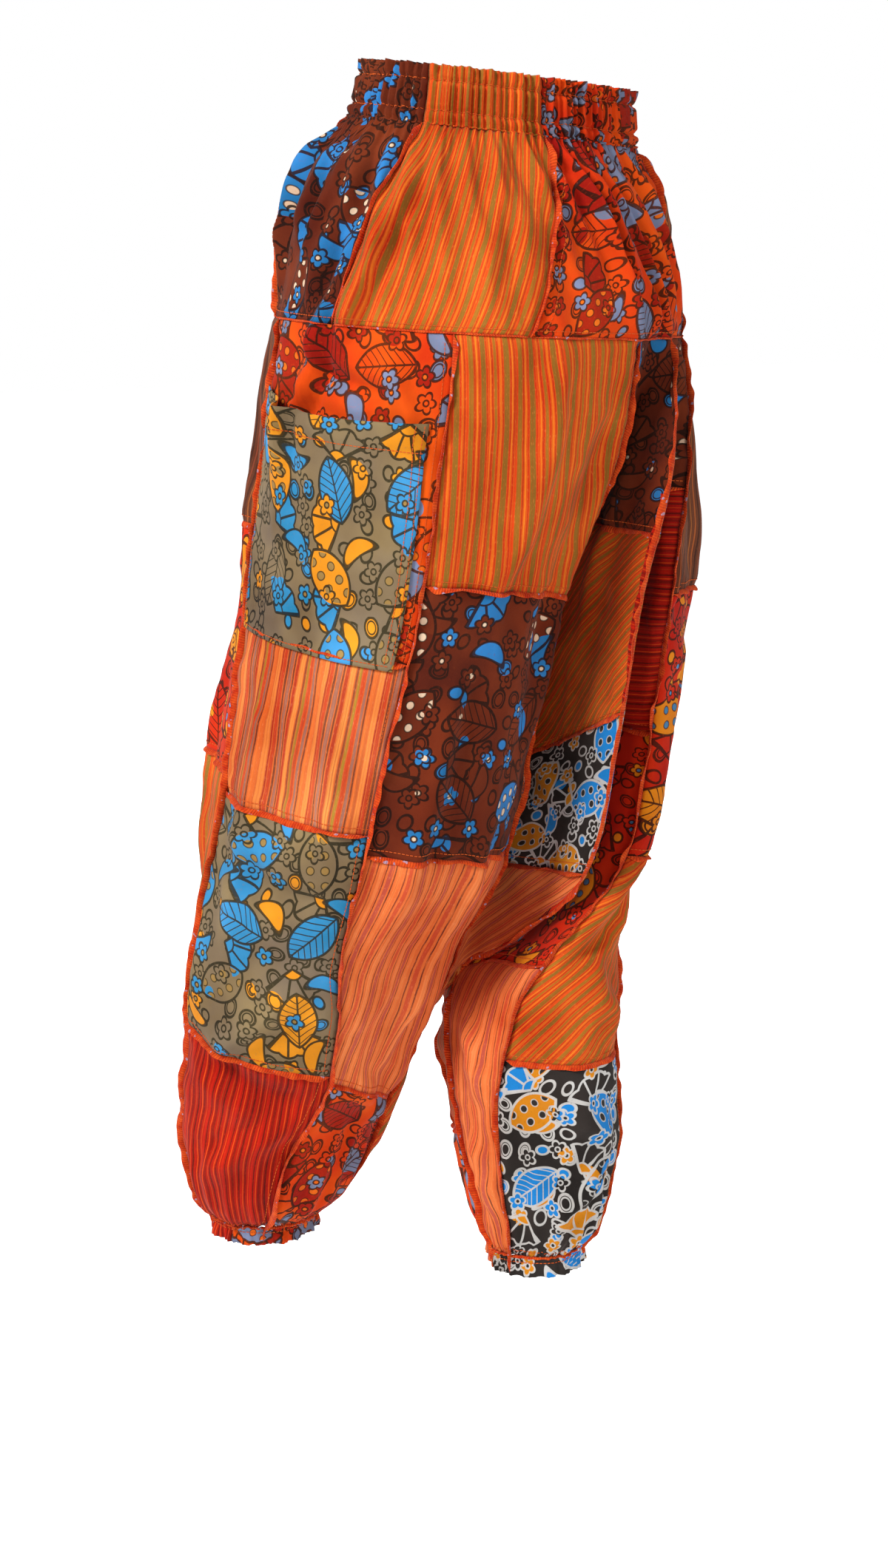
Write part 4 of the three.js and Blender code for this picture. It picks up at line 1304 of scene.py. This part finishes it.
def serge(name, half, rings, heights, tall=LIP_HEIGHT, droop=0):
    """A lip along a seam from one ring number and height to another. A ring of points round a flat
    oval, cosine for its height and sine for its width, is set along the seam, and its lean in radians
    changes slowly about its droop."""
    guess = np.linspace(0, 1, 60)
    rough = on_body(half, lerp(*rings, guess), lerp(*heights, guess))
    length = np.linalg.norm(np.diff(rough, axis=0), axis=1).sum()
    count = max(4, int(length / SEAM_STEP))
    t = np.linspace(0, 1, count)
    points, out = seam_points(half, lerp(*rings, t), lerp(*heights, t))
    along = unit(np.gradient(points, axis=0))
    aside = unit(np.cross(along, out))
    lean = droop + noise(points, 38.0, 71) + 0.45 * noise(points, 11.0, 73)
    up = out * np.cos(lean)[:, None] + aside * np.sin(lean)[:, None]
    over = np.cross(along, up)
    size = 1 + 0.22 * noise(points, 7.0, 79)
    ends = np.clip(np.minimum(t, 1 - t) * length / LIP_END, 0.12, 1)
    turn = np.linspace(0, 2 * np.pi, LIP_POINTS + 1)
    rise = (0.42 + 0.58 * np.cos(turn)) * tall
    wide = np.sin(turn) * LIP_THICK / 2 * (1 + 0.35 * np.cos(turn))
    scale = (size * ends)[:, None, None]
    ringed = points[:, None] + scale * (
        up[:, None] * rise[None, :, None] + over[:, None] * wide[None, :, None]
    )
    run = np.concatenate([[0], np.cumsum(np.linalg.norm(np.diff(points, axis=0), axis=1))])
    flat = np.stack(np.broadcast_arrays(turn[None] * 0.0016, run[:, None] * MM), axis=-1)
    lip = grid_mesh(name, ringed[:, ::-1], flat[:, ::-1])
    lip.data.materials.append(THREAD)
    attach(lip, "root")
    return lip


LIPS = []
for column, half, start, end, patches in COLUMNS:
    foot = LEFT_CUFF[1] if half == "left" else RIGHT_CUFF[1]
    LIPS.append(serge(f"seam_{column}", half, (start, start), (YOKE_FOOT, foot + 2)))
    for name, level, cloth, lean in patches[:-1]:
        LIPS.append(serge(f"seam_{column}_{name}", half, (start, end), level, CROSS_LIP, CROSS_DROOP))
for name, from_rings, to_rings, cloth in YOKE:
    LIPS.append(serge(f"seam_yoke_{name}", ROUND_BODY, from_rings, (WAIST_FOOT, YOKE_FOOT)))
    foot_rings = from_rings[1], to_rings[1]
    LIPS.append(serge(f"seam_hip_{name}", ROUND_BODY, foot_rings, (YOKE_FOOT,) * 2, HIP_LIP))
LIPS.append(serge("seam_inner_left_leg", "left", (0, 0), (CROTCH - 6, LEFT_CUFF[1] + 2)))
LIPS.append(serge("seam_cuff_left", "left", (0, 9), (LEFT_CUFF[0],) * 2, CUFF_LIP))
LIPS.append(serge("seam_cuff_right", "right", (9, 18), (RIGHT_CUFF[0],) * 2, CUFF_LIP))
print("seams:", len(LIPS))

# %% [markdown]
# Beside the seams, along the casings and round the pocket run rows of plain lockstitch. Each stitch is a
# short flat bead, so a row is one small mesh: the bead's corners repeated along a line on the cloth.

# %% Topstitching
STITCH, STITCH_PITCH = 2.3, 3.3
STITCH_WIDE, STITCH_TALL = 0.55, 0.45
# how far from an edge a row runs: a share of the cuff's height, and the rest in millimetres
CUFF_DROP = 0.32
POCKET_SIDE, POCKET_OUTER, POCKET_BASE = 3.0, 9.0, 3.5
FOOT_INSET, YOKE_INSET, SIDE_INSET = 5.5, 6.0, 7.0
# a bead's corners and faces, and how far in shares its neighbours on the grid are
BEAD = np.array([(a, b, c) for a in (-0.5, 0.5) for b in (-0.5, 0.5) for c in (0, 1)], float)
NEARBY = 0.012
BEAD_FACES = np.array([(0, 1, 3, 2), (4, 6, 7, 5), (0, 4, 5, 1), (2, 3, 7, 6), (1, 5, 7, 3), (0, 2, 6, 4)])

stitching = Graph("stitching")
stitch_paint = stitching.mix(stitching.clouds(90.0), rgb("b23a14"), rgb("d86a2c"))
STITCHING = stitching.finish(stitch_paint, stitching.clouds(2000.0) * 0.0001)


def on_grid(grid, u, v):
    """Points of a patch's grid at shares u across and v down, blended between its four nearest."""
    rows, columns = grid.shape[:2]
    x, y = np.clip(u, 0, 1) * (columns - 1), np.clip(v, 0, 1) * (rows - 1)
    i, j = np.minimum(x.astype(int), columns - 2), np.minimum(y.astype(int), rows - 2)
    fx, fy = (x - i)[:, None], (y - j)[:, None]
    upper = lerp(grid[j, i], grid[j, i + 1], fx)
    lower = lerp(grid[j + 1, i], grid[j + 1, i + 1], fx)
    return lerp(upper, lower, fy)


def stitch_line(name, start, end):
    """The beads of one row, as points, from one place on a patch to another, in millimetres."""
    grid = LAID[name]
    fine = np.linspace(0, 1, 400)
    path = on_grid(grid, lerp(start[0], end[0], fine), lerp(start[1], end[1], fine))
    run = np.concatenate([[0], np.cumsum(np.linalg.norm(np.diff(path, axis=0), axis=1))])
    at = np.arange(STITCH_PITCH, run[-1] - STITCH_PITCH / 2, STITCH_PITCH)
    t = np.interp(at, run, fine)
    u, v = lerp(start[0], end[0], t), lerp(start[1], end[1], t)
    middle = on_grid(grid, u, v)
    right = on_grid(grid, u + NEARBY, v) - on_grid(grid, u - NEARBY, v)
    down = on_grid(grid, u, v + NEARBY) - on_grid(grid, u, v - NEARBY)
    out = unit(np.cross(down, right))
    ahead, behind = [
        np.stack([np.interp(at + step, run, path[:, axis]) for axis in range(3)], axis=1)
        for step in (0.5, -0.5)
    ]
    along = unit(ahead - behind)
    corners = BEAD * np.array([STITCH, STITCH_WIDE, STITCH_TALL])
    axes = np.stack([along, np.cross(out, along), out], axis=1)
    return middle[:, None] + np.einsum("kc,ncx->nkx", corners, axes)


def stitch_mesh(name, lines):
    """All the rows of one piece of sewing, as one mesh."""
    beads = np.concatenate(lines)
    faces = (BEAD_FACES[None] + 8 * np.arange(len(beads))[:, None, None]).reshape(-1, 4)
    mesh = bpy.data.meshes.new(name)
    mesh.from_pydata((beads.reshape(-1, 3) * MM).tolist(), [], faces.tolist())
    mesh.materials.append(STITCHING)
    made = bpy.data.objects.new(name, mesh)
    bpy.context.scene.collection.objects.link(made)
    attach(made, "root")
    return len(beads)


def stitch_rows(name, grid):
    """The rows of stitching on one patch, by the kind of patch it is."""
    tall = np.linalg.norm(np.diff(grid[:, grid.shape[1] // 2], axis=0), axis=1).sum()
    wide = np.linalg.norm(np.diff(grid[grid.shape[0] // 2], axis=0), axis=1).sum()
    if name.startswith("casing"):
        drops = [row / WAIST_FOOT for row in WAIST_ROWS]
        return [stitch_line(name, (0, drop), (1, drop)) for drop in drops]
    if "cuff" in name:
        return [stitch_line(name, (0, CUFF_DROP), (1, CUFF_DROP))]
    if name == "pocket":
        side, outer, base = POCKET_SIDE / wide, POCKET_OUTER / wide, 1 - POCKET_BASE / tall
        return [
            stitch_line(name, (0, HEM), (1, HEM)),
            stitch_line(name, (1 - side, 0), (1 - side, base)),
            stitch_line(name, (1 - outer, 0), (1 - outer, base)),
            stitch_line(name, (side, 0), (side, base)),
            stitch_line(name, (side, base), (1 - side, base)),
        ]
    base = 1 - FOOT_INSET / tall
    rows = [stitch_line(name, (0, base), (1, base))]
    if name.startswith("yoke"):
        rows.append(stitch_line(name, (YOKE_INSET / wide, 0.02), (YOKE_INSET / wide, 0.98)))
    elif "side" in name or "back" in name:
        inset = 1 - SIDE_INSET / wide
        rows.append(stitch_line(name, (inset, 0.02), (inset, 0.98)))
    return rows


rows_of = {name: stitch_rows(name, grid) for name, grid in LAID.items()}
stitches = sum(stitch_mesh(f"stitches_{name}", lines) for name, lines in rows_of.items())
print("stitches:", stitches)

# %% [markdown]
# Every patch is cloth. Each is hung from the root, and the solid model's part in its place is hidden.
# The casings and cuffs are gathered on elastic and the rest hang from what is sewn above them.

# %% Attach each piece and hide its solid part
# no side is taken as shorter than this, in metres: the cuffs are a little shorter, and their area shows it
LEAST_SIDE = 0.02
# the area taken stays just below the whole rectangle's
BELOW_WHOLE = 0.999

for piece, node, cloth, width, length, area in SHEETS:
    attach(piece, "root")
    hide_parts(node)
    round(max(width * MM, LEAST_SIDE), 3)
    round(max(length * MM, LEAST_SIDE), 3)
    round(min(area, BELOW_WHOLE * width * length) * MM**2, 5)
    "gathered" if is_casing(node) else "hung"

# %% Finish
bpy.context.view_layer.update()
